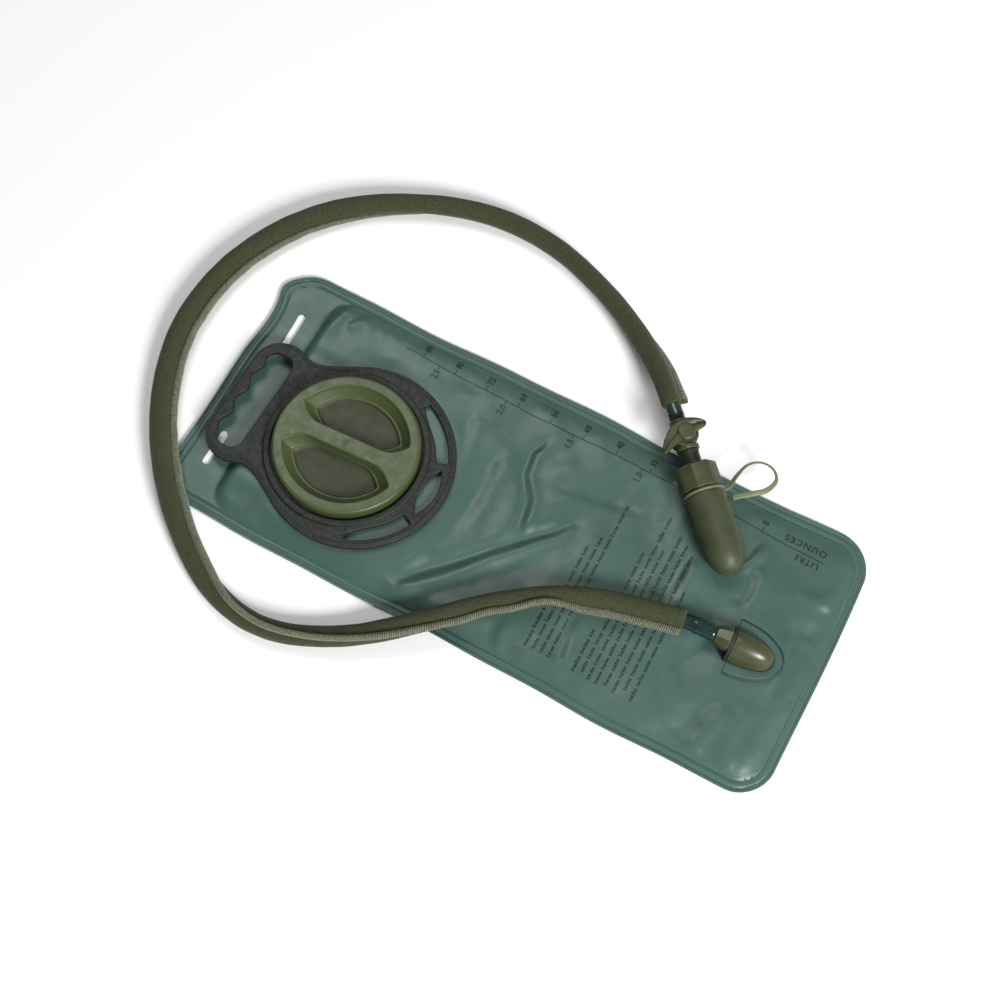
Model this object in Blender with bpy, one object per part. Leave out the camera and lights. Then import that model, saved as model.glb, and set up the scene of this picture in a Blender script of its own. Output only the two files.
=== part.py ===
"""Hydration bladder: welded film reservoir, screw cap, carry collar, sleeved hose and bite end.

The reservoir lies flat on the XY plane with its length along X, the filler end at -X and the
hose outlet at +X. The origin is under the middle of the reservoir. Units are metres.
"""
import math

import bmesh
import bpy
from mathutils import Matrix, Vector

MM = 0.001
GAP = 0.3 * MM                    # air left between two pieces that touch
ROUND = 48                        # sides of a large turned piece
FINE = 20                         # sides of a small turned piece

# Reservoir: two films welded round the edge, with a wide welded header at the filler end.
BAG_LENGTH = 400 * MM
BAG_WIDTH = 171.4 * MM
BAG_CORNER_R = 22 * MM
FILM = 0.6 * MM
FILL_GAP = 5.4 * MM               # inner height of the nearly empty reservoir
WELD_BORDER = 7 * MM
HEADER_LENGTH = 34 * MM
EDGE_SLOPE = 14 * MM              # run over which the film rises from the weld
HEADER_SLOPE = 5.5 * MM
WELD_CORNER_R = 15 * MM
POUCH_CORNER_R = 12 * MM
HANG_SLOT_LENGTH = 25 * MM
HANG_SLOT_WIDTH = 5.5 * MM
HANG_SLOT_FROM_END = 19 * MM
HANG_SLOT_PITCH = 91 * MM

# Filler neck, collar and cap share one upright axis.
CAP_FROM_END = 91.7 * MM
CAP_OFFSET_Y = -11.3 * MM
NECK_BORE_R = 38 * MM
NECK_WALL = 2.4 * MM
NECK_RISE = 8.6 * MM              # neck top above the film
NECK_FLANGE_WIDTH = 9.6 * MM
NECK_FLANGE = 2 * MM
THREAD_DEPTH = 1.0 * MM
THREAD_WIDTH = 1.2 * MM
THREAD_PITCH = 1.9 * MM
THREAD_TURNS = 1.1
THREAD_SIDE_GAP = 0.3 * MM        # radial air between neck and cap thread crests
CAP_THREAD_DEPTH = 0.9 * MM

COLLAR_THICKNESS = 4 * MM
COLLAR_MARGIN = 1.1 * MM          # collar outside the step ring, where it is narrowest
COLLAR_SHIFT = 8 * MM             # collar ring centre, towards the outlet from the cap axis
COLLAR_TURN = math.radians(-1.3)
COLLAR_FIT = 0.4 * MM
STEP_WIDTH = 3.6 * MM
STEP_HEIGHT = 2.2 * MM
STEP_CLEARANCE = 1.7 * MM         # shadow gap between the cap and the step ring
HANDLE_ROOT = 6.7 * MM            # step ring to the finger hole
HANDLE_WIDTH = 85.5 * MM
HANDLE_END_R = 19 * MM
HANDLE_WAIST_X = 49 * MM          # where the handle is narrowest, from the cap axis
HANDLE_WAIST_WIDTH = 81 * MM
HANDLE_BAR = 7 * MM
FINGER_HOLE_WIDTH = 18 * MM
FINGER_HOLE_LENGTH = 68 * MM
FINGER_WAVE = 1.6 * MM
FINGER_WAVES = 3
COLLAR_RIM = 5.6 * MM
SLOT_SPAN = (25, 70)              # degrees from the outlet side, for the two crescents
CRESCENT_GAP = 6.5 * MM           # step ring to the crescents' inner edge
CRESCENT_MIN = 2.2 * MM
LENS_LENGTH = 31 * MM
LENS_WIDTH = 10 * MM

CAP_LIFT = 0.6 * MM               # skirt's lower edge above the collar
CAP_PLATE = 2.3 * MM
CAP_SKIRT = 1.9 * MM
CAP_EDGE_R = 1.6 * MM
GASKET_THICKNESS = 1.5 * MM
GASKET_WIDTH = 3.4 * MM
CAP_RIM = 6.8 * MM                # cap's edge to the finger wells
WELL_DEPTH = 8.5 * MM
WELL_TAPER = 5 * MM
WELL_FLOOR = 1.8 * MM
PLUG_CLEARANCE = 0.9 * MM
BAR_HALF = 5.1 * MM
BAR_FLARE = 7.5 * MM
BAR_TURN = math.radians(3)
BAR_WALL = 2 * MM

# Outlet port, with its own frame: +X points at the nose of the port.
OUTLET_FROM_END = 53 * MM
OUTLET_OFFSET_Y = -9.7 * MM
OUTLET_TURN = math.radians(4)
PORT_FLANGE = 2 * MM
PORT_FLANGE_HALF = 17.2 * MM
PORT_FLANGE_LENGTH = 31 * MM
DOME_HALF = 10.2 * MM
DOME_RISE = 13.6 * MM
DOME_LENGTH = 25.5 * MM
DOME_AIR = 0.6 * MM               # between the dome and the film's opening
SEAL_THICKNESS = 1.9 * MM
SEAL_MARGIN = 0.4 * MM
PORT_SOCKET_R = 4.6 * MM
PORT_SOCKET_DEPTH = 7 * MM
PORT_BORE_R = 3.0 * MM
CONNECTOR_LENGTH = 8.8 * MM
CONNECTOR_BIG_R = 7.6 * MM
CONNECTOR_LIP = 0.65 * MM         # connector's small end outside the tube
CONNECTOR_SIDES = 8
SPIGOT_GAP = 0.3 * MM
FLOW_R = 2.5 * MM

# O-rings: one section for all, each in a groove that is cut to its size.
ORING_R = 0.6 * MM
ORING_SIDE = 0.2 * MM             # air round an O-ring in its groove
ORING_TOP = 0.1 * MM              # air between an O-ring and the bore it seals

# Hose: drinking tube inside a fabric sleeve.
TUBE_R = 4.75 * MM
SLEEVE_AIR = 0.65 * MM            # between tube and sleeve
SLEEVE_WALL = 2.1 * MM
SLEEVE_SIDES = 12
BARE_AT_OUTLET = 19.5 * MM
BARE_AT_VALVE = 10 * MM
HOSE_LIFT = 0.4 * MM              # sleeve above the film
HOSE_POINTS = 60
HOSE_ROUTE_MM = [
    (91, -17.4, 14.5), (68, -23.5, 14.5), (46, -33, 14.5), (24.5, -47, 14.5), (4, -64, 14.4),
    (-16, -83, 12.7), (-42, -104.5, 9.2), (-64, -118, 7.9), (-87, -127.3, 7.8), (-110, -129.3, 7.8),
    (-134, -123.3, 7.8), (-156.5, -110.8, 8.4), (-177.5, -94.8, 9.7), (-195, -77.5, 10.0),
    (-211.5, -56.8, 9.2), (-225, -34.3, 8.1), (-235, -9.9, 7.8), (-240.5, 14, 7.8), (-241, 39.5, 7.8),
    (-237, 65, 7.8), (-228, 89.5, 7.8), (-216, 110.6, 7.8), (-199.5, 130.3, 7.8), (-179, 147, 7.8),
    (-156.5, 160.2, 7.8), (-134, 169.8, 7.8), (-108.7, 176.2, 7.8), (-83, 177.6, 7.8),
    (-57, 174, 8.4), (-33.9, 166.3, 9.8), (-9.8, 155.2, 11.9), (12.8, 141.3, 14.4), (33.8, 124.2, 17.4),
]

# Bite end, with its own frame: +X runs from the sleeve's end to the tip of the dust cover.
BITE_START_MM = (52.1, 105.0)
BITE_TURN = math.radians(-46.3)
VALVE_INLET_LIP = 0.95 * MM       # valve's inlet outside the tube
VALVE_BODY_R = 6.2 * MM
VALVE_LENGTH = 20.7 * MM
VALVE_PIVOT = 10.7 * MM           # pivot from the valve's inlet face
BARREL_R = 8.4 * MM
BARREL_TOP = 6.4 * MM
BARREL_BOTTOM = 6.6 * MM
SPINDLE_R = 4.3 * MM
SPINDLE_FLOOR = 5.0 * MM
SPINDLE_FIT = 0.3 * MM
DRIVE_HALF = 2.2 * MM
DRIVE_HEIGHT = 2.6 * MM
LEVER_TURN = math.radians(16)     # how far the lever stands off its closed, crosswise place
LEVER_THICKNESS = 3.4 * MM
LEVER_HUB_R = 6.4 * MM
LEVER_HUB_HEIGHT = 4.2 * MM
LEVER_LONG_ARM = 17 * MM
LEVER_SHORT_ARM = 13 * MM
LEVER_HALF_WIDTH = 4.2 * MM
LEVER_BOW = 5 * MM
STEM_NECK_R = 5.4 * MM
STEM_NECK_LENGTH = 11.7 * MM
STEM_SPIGOT_R = 3.6 * MM
STEM_SPIGOT_LENGTH = 4.4 * MM
STEM_SHOULDER_R = 7 * MM
STEM_SHOULDER = 2 * MM
STEM_NIPPLE_R = 3.4 * MM
STEM_NIPPLE_LENGTH = 18 * MM
HEX_SIDES = 8
HEX_WALL = 1.95 * MM              # octagonal collar's wall at the middle of a side
HEX_LENGTH = 16.9 * MM
HEX_BACK_WALL = 1.1 * MM
HEX_CHAMFER = 1.2 * MM
MOUTH_BASE_R = 9.2 * MM
MOUTH_BASE = 3 * MM
MOUTH_BODY_R = 7.9 * MM
MOUTH_TIP_R = 6 * MM
MOUTH_BEYOND = 27 * MM            # silicone mouthpiece in front of the octagonal collar
MOUTH_CHAMBER_R = 5.0 * MM
MOUTH_TIP_WALL = 3 * MM
MOUTH_SLIT = (1.0 * MM, 7.5 * MM)
TETHER_RING = 1.9 * MM
TETHER_RING_R = 12.6 * MM
TETHER_FIT = 0.5 * MM
STRAP_WIDTH = 3.2 * MM
STRAP_THICKNESS = 1.2 * MM
STRAP_LOOP_MM = [(-1, 16.5, 0), (-6, 22, -1.2), (-12, 32, -2.4), (-11.5, 41, -3), (-5.5, 46.5, -3),
                 (2, 45.5, -2.6), (6.5, 37.5, -1.8), (6.6, 28, -1), (6.2, 21, -0.4), (6.2, 15.6, 0)]
COVER_LENGTH = 49.5 * MM
COVER_R = 12.5 * MM
COVER_WALL = 1.5 * MM
COVER_NOSE = 20 * MM              # length of the rounded nose
LUG_SIZE = (4.4 * MM, 2.2 * MM, 4.0 * MM)
LUG_FROM_MOUTH = 5.8 * MM

# Levels and places that follow from the sizes above.
FILM_UNDER = FILM + FILL_GAP
FILM_TOP = FILM_UNDER + FILM
WELD_UNDER = FILM + GAP
WELD_TOP = WELD_UNDER + FILM
NECK_R = NECK_BORE_R + NECK_WALL
NECK_TOP = FILM_TOP + NECK_RISE
COLLAR_BOTTOM = FILM_TOP + GAP
COLLAR_TOP = COLLAR_BOTTOM + COLLAR_THICKNESS
SKIRT_BOTTOM = COLLAR_TOP + CAP_LIFT
GASKET_BOTTOM = NECK_TOP + GAP
PLATE_UNDER = GASKET_BOTTOM + GASKET_THICKNESS + GAP
CAP_TOP = PLATE_UNDER + CAP_PLATE
THREAD_CREST = NECK_R + THREAD_DEPTH
SKIRT_BORE_R = THREAD_CREST + THREAD_SIDE_GAP + CAP_THREAD_DEPTH
CAP_R = SKIRT_BORE_R + CAP_SKIRT
WELL_R = CAP_R - CAP_RIM
STEP_IN = CAP_R + STEP_CLEARANCE
STEP_OUT = STEP_IN + STEP_WIDTH
COLLAR_R = STEP_OUT + COLLAR_SHIFT + COLLAR_MARGIN
HANDLE_REACH = STEP_OUT + HANDLE_ROOT + FINGER_HOLE_WIDTH + HANDLE_BAR
SLEEVE_BORE_R = TUBE_R + SLEEVE_AIR
SLEEVE_R = SLEEVE_BORE_R + SLEEVE_WALL
HEX_R = (MOUTH_BASE_R + GAP + HEX_WALL) / math.cos(math.pi / HEX_SIDES)
CAP_AXIS = Vector((CAP_FROM_END - BAG_LENGTH / 2, CAP_OFFSET_Y, 0))
HOSE_AXIS_Z = FILM_TOP + HOSE_LIFT + SLEEVE_R
OUTLET_AXIS = Vector((BAG_LENGTH / 2 - OUTLET_FROM_END, OUTLET_OFFSET_Y, HOSE_AXIS_Z))
VALVE_START = BARE_AT_VALVE + GAP
PIVOT_S = VALVE_START + VALVE_PIVOT
STEM_START = VALVE_START + VALVE_LENGTH + GAP
HEX_START = STEM_START + STEM_NECK_LENGTH - HEX_BACK_WALL - GAP
HEX_END = HEX_START + HEX_LENGTH
RING_START = HEX_END + GAP
COVER_START = RING_START + TETHER_RING + GAP
BITE_AXIS_Z = FILM_TOP + GAP + max(HEX_R, TETHER_RING_R, COVER_R)
BITE_AXIS = Vector((BITE_START_MM[0] * MM, BITE_START_MM[1] * MM, BITE_AXIS_Z))


# ---------------------------------------------------------------- tools

def clear_scene():
    for obj in list(bpy.data.objects):
        bpy.data.objects.remove(obj, do_unlink=True)


def material(name, colour, roughness, alpha=1.0):
    found = bpy.data.materials.get(name)
    if found:
        return found
    made = bpy.data.materials.new(name)
    made.use_nodes = True
    shader = made.node_tree.nodes["Principled BSDF"]
    shader.inputs["Base Color"].default_value = (*colour, 1.0)
    shader.inputs["Roughness"].default_value = roughness
    shader.inputs["Metallic"].default_value = 0.0
    shader.inputs["Alpha"].default_value = alpha
    return made


def frame_empty(name, place, turn=0.0, parent=None):
    empty = bpy.data.objects.new(name, None)
    bpy.context.collection.objects.link(empty)
    empty.parent = parent
    empty.location = place
    empty.rotation_euler = (0, 0, turn)
    return empty


def piece(name, bm, mat=None, parent=None, place=(0, 0, 0), sharp=35):
    """Make an object of a bmesh. Without a material it is a cutter, which isn't part of the model."""
    bmesh.ops.remove_doubles(bm, verts=bm.verts, dist=0.001 * MM)
    bmesh.ops.recalc_face_normals(bm, faces=bm.faces)
    mesh = bpy.data.meshes.new(name)
    bm.to_mesh(mesh)
    bm.free()
    mesh.shade_smooth()
    mesh.set_sharp_from_angle(angle=math.radians(sharp))
    obj = bpy.data.objects.new(name, mesh)
    bpy.context.collection.objects.link(obj)
    obj.parent = parent
    obj.location = place
    if mat:
        mesh.materials.append(mat)
    else:
        obj.hide_render = True
        obj.display_type = "WIRE"
    return obj


def combine(obj, other, operation="DIFFERENCE"):
    """Cut obj with a cutter, or join a cutter to it."""
    modifier = obj.modifiers.new(other.name, "BOOLEAN")
    modifier.operation = operation
    modifier.solver = "EXACT"
    modifier.object = other


def turned(profile, sides, along_x=False):
    """Turn a closed profile of (radius, height) round Z, or of the same pairs round X."""
    bm = bmesh.new()
    verts = [bm.verts.new((r, 0, h)) for r, h in profile]
    edges = [bm.edges.new((verts[i - 1], verts[i])) for i in range(len(verts))
             if profile[i - 1][0] > 0 or profile[i][0] > 0]
    bmesh.ops.spin(bm, geom=verts + edges, cent=(0, 0, 0), axis=(0, 0, 1),
                   angle=2 * math.pi, steps=sides, use_merge=True)
    if along_x:
        half_facet = Matrix.Rotation(math.pi / sides, 3, "Z")
        bmesh.ops.rotate(bm, verts=bm.verts, matrix=Matrix.Rotation(math.pi / 2, 3, "Y") @ half_facet)
    return bm


def rod(radius, start, end, sides=FINE, along_x=False):
    return turned([(0, start), (radius, start), (radius, end), (0, end)], sides, along_x)


def loft(rings, loop=False):
    """Skin through rings with the same number of points. An open loft gets flat end caps."""
    bm = bmesh.new()
    skin = [[bm.verts.new(p) for p in ring] for ring in rings]
    count = len(rings[0])
    pairs = list(zip(skin, skin[1:]))
    if loop:
        pairs.append((skin[-1], skin[0]))
    for a, b in pairs:
        for i in range(count):
            j = (i + 1) % count
            bm.faces.new((a[i], a[j], b[j], b[i]))
    if not loop:
        bm.faces.new(skin[0][::-1])
        bm.faces.new(skin[-1])
    return bm


def prism(outline, low, high):
    return loft([[(x, y, low) for x, y in outline], [(x, y, high) for x, y in outline]])


def arc(cx, cy, radius, start, end, steps):
    """Points of an arc, angles in degrees."""
    turns = [math.radians(start + (end - start) * i / steps) for i in range(steps + 1)]
    return [(cx + radius * math.cos(t), cy + radius * math.sin(t)) for t in turns]


def rounded_rect(x0, x1, y0, y1, radius, steps=6):
    points = arc(x1 - radius, y0 + radius, radius, -90, 0, steps)
    points += arc(x1 - radius, y1 - radius, radius, 0, 90, steps)
    points += arc(x0 + radius, y1 - radius, radius, 90, 180, steps)
    points += arc(x0 + radius, y0 + radius, radius, 180, 270, steps)
    return points


def box(x0, x1, y0, y1, z0, z1):
    return prism([(x0, y0), (x1, y0), (x1, y1), (x0, y1)], z0, z1)


def smooth_path(points, per_span=10):
    """Catmull-Rom curve through the points."""
    knots = [Vector(p) for p in points]
    ends = [2 * knots[0] - knots[1]] + knots + [2 * knots[-1] - knots[-2]]
    path = []
    for i in range(len(knots) - 1):
        a, b, c, d = ends[i:i + 4]
        for step in range(per_span):
            t = step / per_span
            path.append(0.5 * (2 * b + (c - a) * t + (2 * a - 5 * b + 4 * c - d) * t ** 2
                               + (3 * b - a - 3 * c + d) * t ** 3))
    return path + [knots[-1]]


def at_length(path, distance):
    """The point of a path at a distance along it."""
    for a, b in zip(path, path[1:]):
        span = (b - a).length
        if distance <= span:
            return a.lerp(b, distance / span)
        distance -= span
    return path[-1].copy()


def path_length(path):
    return sum((b - a).length for a, b in zip(path, path[1:]))


def path_frames(path):
    """For each point of a path, the directions across it: level, and square to both."""
    frames = []
    for i, point in enumerate(path):
        ahead = (path[min(i + 1, len(path) - 1)] - path[max(i - 1, 0)]).normalized()
        level = Vector((0, 0, 1)).cross(ahead).normalized()
        frames.append((point, level, ahead.cross(level)))
    return frames


# ---------------------------------------------------------------- materials

def film_material():
    return material("tpu_film", (0.105, 0.185, 0.16), 0.38, alpha=0.96)


def collar_material():
    return material("black_nylon", (0.022, 0.024, 0.022), 0.55)


def cap_material():
    return material("olive_plastic", (0.13, 0.155, 0.055), 0.42)


def port_material():
    return material("olive_port_plastic", (0.10, 0.098, 0.045), 0.30)


def rubber_material():
    return material("black_rubber", (0.012, 0.013, 0.013), 0.6)


def tube_material():
    return material("teal_tube", (0.02, 0.05, 0.045), 0.18)


def sleeve_material():
    return material("olive_fabric", (0.065, 0.066, 0.032), 0.9)


def valve_material():
    return material("olive_valve_plastic", (0.12, 0.135, 0.06), 0.42)


def stem_material():
    return material("dark_olive_plastic", (0.055, 0.056, 0.03), 0.55)


def silicone_material():
    return material("clear_silicone", (0.45, 0.5, 0.47), 0.35, alpha=0.9)


def strap_material():
    return material("olive_strap_plastic", (0.17, 0.2, 0.12), 0.45)


def cover_material():
    return material("olive_cover_plastic", (0.125, 0.13, 0.065), 0.35)


# ---------------------------------------------------------------- reservoir

def hang_slot_cutters():
    cutters = []
    x = HANG_SLOT_FROM_END - BAG_LENGTH / 2
    half = HANG_SLOT_LENGTH / 2 - HANG_SLOT_WIDTH / 2
    radius = HANG_SLOT_WIDTH / 2
    for side, y in (("upper", HANG_SLOT_PITCH / 2), ("lower", -HANG_SLOT_PITCH / 2)):
        outline = arc(x, y + half, radius, 0, 180, 8) + arc(x, y - half, radius, 180, 360, 8)
        cutters.append(piece("cut_hang_slot_" + side, prism(outline, -FILM, WELD_TOP + FILM)))
    return cutters


def bag_outline():
    return rounded_rect(-BAG_LENGTH / 2, BAG_LENGTH / 2, -BAG_WIDTH / 2, BAG_WIDTH / 2, BAG_CORNER_R)


def inset_outline(border, header, radius):
    """The bag's outline moved in by border, and by header at the filler end."""
    return rounded_rect(header - BAG_LENGTH / 2, BAG_LENGTH / 2 - border,
                        border - BAG_WIDTH / 2, BAG_WIDTH / 2 - border, radius)


def build_films(slots):
    back = piece("back_film", prism(bag_outline(), 0, FILM), film_material())
    edge = bag_outline()
    weld = inset_outline(WELD_BORDER, HEADER_LENGTH, WELD_CORNER_R)
    pouch = inset_outline(WELD_BORDER + EDGE_SLOPE, HEADER_LENGTH + HEADER_SLOPE, POUCH_CORNER_R)
    levels = [(pouch, FILM_UNDER), (weld, WELD_UNDER), (edge, WELD_UNDER),
              (edge, WELD_TOP), (weld, WELD_TOP), (pouch, FILM_TOP)]
    rings = [[(x, y, z) for x, y in outline] for outline, z in levels]
    front = piece("front_film", loft(rings), film_material(), sharp=60)
    for film in (back, front):
        for slot in slots:
            combine(film, slot)
    neck_hole = piece("cut_neck_hole", rod(NECK_R + GAP, 0, FILM_TOP + FILM, ROUND), place=CAP_AXIS)
    neck_hole.location.z = WELD_TOP
    combine(front, neck_hole)
    return front


# ---------------------------------------------------------------- filler

def thread_ridge(name, root_r, crest_r, start_z, parent):
    """One helical ridge between two radii, which its owner joins to its wall."""
    steps = int(THREAD_TURNS * 40)
    rings = []
    for i in range(steps + 1):
        turn = 2 * math.pi * THREAD_TURNS * i / steps
        z = start_z + THREAD_PITCH * THREAD_TURNS * i / steps
        taper = min(1, i / 4, (steps - i) / 4)
        crest = root_r + (crest_r - root_r) * (0.35 + 0.65 * taper)
        section = [(root_r, -THREAD_WIDTH / 2), (crest, -THREAD_WIDTH / 5),
                   (crest, THREAD_WIDTH / 5), (root_r, THREAD_WIDTH / 2)]
        rings.append([(r * math.cos(turn), r * math.sin(turn), z + dz) for r, dz in section])
    return piece(name, loft(rings), parent=parent)


def build_neck(frame):
    flange_top = FILM_UNDER - GAP
    flange_bottom = flange_top - NECK_FLANGE
    flange_r = NECK_R + NECK_FLANGE_WIDTH
    profile = [(NECK_BORE_R, flange_bottom), (flange_r, flange_bottom),
               (flange_r, flange_top), (NECK_R, flange_top),
               (NECK_R, NECK_TOP - 0.4 * MM), (NECK_R - 0.4 * MM, NECK_TOP), (NECK_BORE_R, NECK_TOP)]
    neck = piece("filler_neck", turned(profile, ROUND), collar_material(), frame)
    thread_z = SKIRT_BOTTOM + THREAD_WIDTH / 2
    ridge = thread_ridge("cut_neck_thread", NECK_R - 0.4 * MM, THREAD_CREST, thread_z, frame)
    combine(neck, ridge, "UNION")


def collar_outline():
    """Ring and handle in one smooth outline, from the cap axis, counter-clockwise."""
    shoulder = 142
    waist = (-HANDLE_WAIST_X, HANDLE_WAIST_WIDTH / 2)
    far = -HANDLE_REACH
    half = HANDLE_WIDTH / 2
    ring = arc(COLLAR_SHIFT, 0, COLLAR_R, -shoulder, shoulder, 56)
    corner = arc(far + HANDLE_END_R, half - HANDLE_END_R, HANDLE_END_R, 78, 180, 8)
    blend = smooth_path([(*p, 0) for p in (ring[-1], waist, corner[0])], 4)
    upper = ring[29:] + [(p.x, p.y) for p in blend[1:-1]] + corner
    lower = [(x, -y) for x, y in reversed(upper)]
    return lower + ring[28:29] + upper


def finger_hole_outline():
    """Straight towards the cap, waved on the far side for the fingers."""
    left = HANDLE_BAR - HANDLE_REACH
    right = left + FINGER_HOLE_WIDTH
    half = FINGER_HOLE_LENGTH / 2
    radius = FINGER_HOLE_WIDTH / 2 - FINGER_WAVE
    points = arc(right - radius, half - radius, radius, 0, 90, 5)
    points += arc(left + radius, half - radius, radius, 90, 180, 5)
    steps = 24
    span = 2 * (half - radius)
    for i in range(1, steps):
        y = half - radius - span * i / steps
        wave = FINGER_WAVE * math.sin(2 * math.pi * FINGER_WAVES * i / steps)
        points.append((left + wave, y))
    points += arc(left + radius, radius - half, radius, 180, 270, 5)
    points += arc(right - radius, radius - half, radius, 270, 360, 5)
    return points


def crescent_outline(side):
    """Slot between a circle round the cap and one inside the ring's rim."""
    start, end = SLOT_SPAN
    inner_r = STEP_IN + CRESCENT_GAP
    outer_r = COLLAR_R - COLLAR_RIM
    inner = arc(0, 0, inner_r, start, end, 12)
    outer = arc(COLLAR_SHIFT, 0, outer_r, end * 0.985, start, 12)
    outer = [(x, y) if math.hypot(x, y) > inner_r + CRESCENT_MIN
             else tuple(Vector((x, y)).normalized() * (inner_r + CRESCENT_MIN)) for x, y in outer]
    return [(x, side * y) for x, y in inner + outer]


def lens_outline():
    right = COLLAR_SHIFT + COLLAR_R - COLLAR_RIM
    outer = [(right - (COLLAR_R - math.sqrt(COLLAR_R ** 2 - y * y)), y)
             for y in [LENS_LENGTH * (i / 10 - 0.5) for i in range(11)]]
    inner = [(x - LENS_WIDTH * math.cos(math.pi * y / LENS_LENGTH), y) for x, y in reversed(outer)]
    return outer + inner[1:-1]


def build_collar(frame):
    outline = collar_outline()
    collar = piece("handle_collar", prism(outline, COLLAR_BOTTOM, COLLAR_TOP), collar_material(), frame)
    sunk = COLLAR_TOP - COLLAR_THICKNESS / 2
    profile = [(STEP_IN, sunk), (STEP_OUT, sunk), (STEP_OUT, COLLAR_TOP + STEP_HEIGHT - 0.5 * MM),
               (STEP_OUT - 0.5 * MM, COLLAR_TOP + STEP_HEIGHT), (STEP_IN, COLLAR_TOP + STEP_HEIGHT)]
    combine(collar, piece("cut_collar_step", turned(profile, ROUND), parent=frame), "UNION")
    low = COLLAR_BOTTOM - GAP
    high = COLLAR_TOP + GAP
    holes = {
        "cut_neck_seat": rod(THREAD_CREST + COLLAR_FIT, low, high, ROUND),
        "cut_finger_hole": prism(finger_hole_outline(), low, high),
        "cut_crescent_upper": prism(crescent_outline(1), low, high),
        "cut_crescent_lower": prism(crescent_outline(-1), low, high),
        "cut_lens": prism(lens_outline(), low, high),
    }
    for name, bm in holes.items():
        combine(collar, piece(name, bm, parent=frame))


def well_outline(radius, bar_half, corner):
    """One D-shaped finger well: an arc, and the bar's side, which flares towards both ends."""
    reach = math.sqrt(radius ** 2 - (bar_half + BAR_FLARE) ** 2) - corner
    side = []
    steps = 14
    for i in range(steps + 1):
        x = reach * (2 * i / steps - 1)
        flare = BAR_FLARE * abs(x / reach) ** 3.2
        side.append((x, bar_half + flare))
    start = math.degrees(math.atan2(side[-1][1] + corner, reach + corner * 0.8))
    return side + arc(0, 0, radius, start, 180 - start, 22)


def build_cap(frame):
    plug_r = NECK_BORE_R - PLUG_CLEARANCE
    plug_bottom = CAP_TOP - WELL_DEPTH - WELL_FLOOR
    profile = [(0, plug_bottom), (plug_r - 2.6 * MM, plug_bottom), (plug_r, NECK_TOP),
               (plug_r, PLATE_UNDER), (SKIRT_BORE_R, PLATE_UNDER), (SKIRT_BORE_R, SKIRT_BOTTOM),
               (CAP_R, SKIRT_BOTTOM)]
    edge_r, edge_z = CAP_R - CAP_EDGE_R, CAP_TOP - CAP_EDGE_R
    profile += [(edge_r + CAP_EDGE_R * math.cos(t), edge_z + CAP_EDGE_R * math.sin(t))
                for t in (0, 0.52, 1.05, 1.57)]
    profile.append((0, CAP_TOP))
    cap = piece("cap_shell", turned(profile, ROUND), cap_material(), frame)
    crest = THREAD_CREST + THREAD_SIDE_GAP
    ridge_z = SKIRT_BOTTOM + THREAD_WIDTH / 2 + THREAD_PITCH / 2
    ridge = thread_ridge("cut_cap_thread", SKIRT_BORE_R + 0.4 * MM, crest, ridge_z, frame)
    combine(cap, ridge, "UNION")
    top = well_outline(WELL_R, BAR_HALF, 3 * MM)
    floor = well_outline(WELL_R - WELL_TAPER, BAR_HALF + 0.8 * MM, 3 * MM)
    for name, turn in (("cut_well_upper", 0), ("cut_well_lower", math.pi)):
        spin = Matrix.Rotation(BAR_TURN + turn, 3, "Z")
        levels = [(floor, CAP_TOP - WELL_DEPTH), (top, CAP_TOP), (top, CAP_TOP + 1 * MM)]
        rings = [[spin @ Vector((x, y, z)) for x, y in outline] for outline, z in levels]
        combine(cap, piece(name, loft(rings), parent=frame))
    half = BAR_HALF - BAR_WALL
    length = WELL_R - WELL_TAPER - BAR_WALL
    groove = box(-length, length, -half, half, plug_bottom - 1 * MM, CAP_TOP - CAP_PLATE)
    bmesh.ops.rotate(groove, verts=groove.verts, matrix=Matrix.Rotation(BAR_TURN, 3, "Z"))
    combine(cap, piece("cut_bar_hollow", groove, parent=frame))


def build_gasket(frame):
    inner = NECK_BORE_R + 0.2 * MM
    outer = inner + GASKET_WIDTH
    low, high = GASKET_BOTTOM, GASKET_BOTTOM + GASKET_THICKNESS
    profile = [(inner, low), (outer, low), (outer, high), (inner, high)]
    piece("cap_gasket", turned(profile, ROUND), rubber_material(), frame)


# ---------------------------------------------------------------- outlet

def o_ring(name, bore_r, along_x, place, parent):
    """A ring that nearly fills the space between a bore and its groove."""
    middle = bore_r - ORING_TOP - ORING_R
    turns = [2 * math.pi * i / 10 for i in range(10)]
    profile = [(middle + ORING_R * math.cos(t), ORING_R * math.sin(t)) for t in turns]
    piece(name, turned(profile, FINE, along_x), rubber_material(), parent, place)


def groove_floor(bore_r):
    return bore_r - ORING_TOP - 2 * ORING_R - ORING_SIDE


def dome_section(x, margin=0.0, base=FILM_UNDER - GAP - PORT_FLANGE / 2):
    """Arch-shaped section of the port's dome, at x from its blunt face."""
    share = (1 - (max(x, 0) / DOME_LENGTH) ** 2.6) ** (1 / 2.6)
    half = DOME_HALF * share + margin
    rise = DOME_RISE * share + margin
    foot = base - HOSE_AXIS_Z
    shoulder = FILM_TOP - HOSE_AXIS_Z
    turns = [math.pi * i / 14 for i in range(15)]
    points = [(x, half * math.cos(t), shoulder + rise * math.sin(t)) for t in turns]
    return [(x, half, foot)] + points + [(x, -half, foot)]


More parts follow.
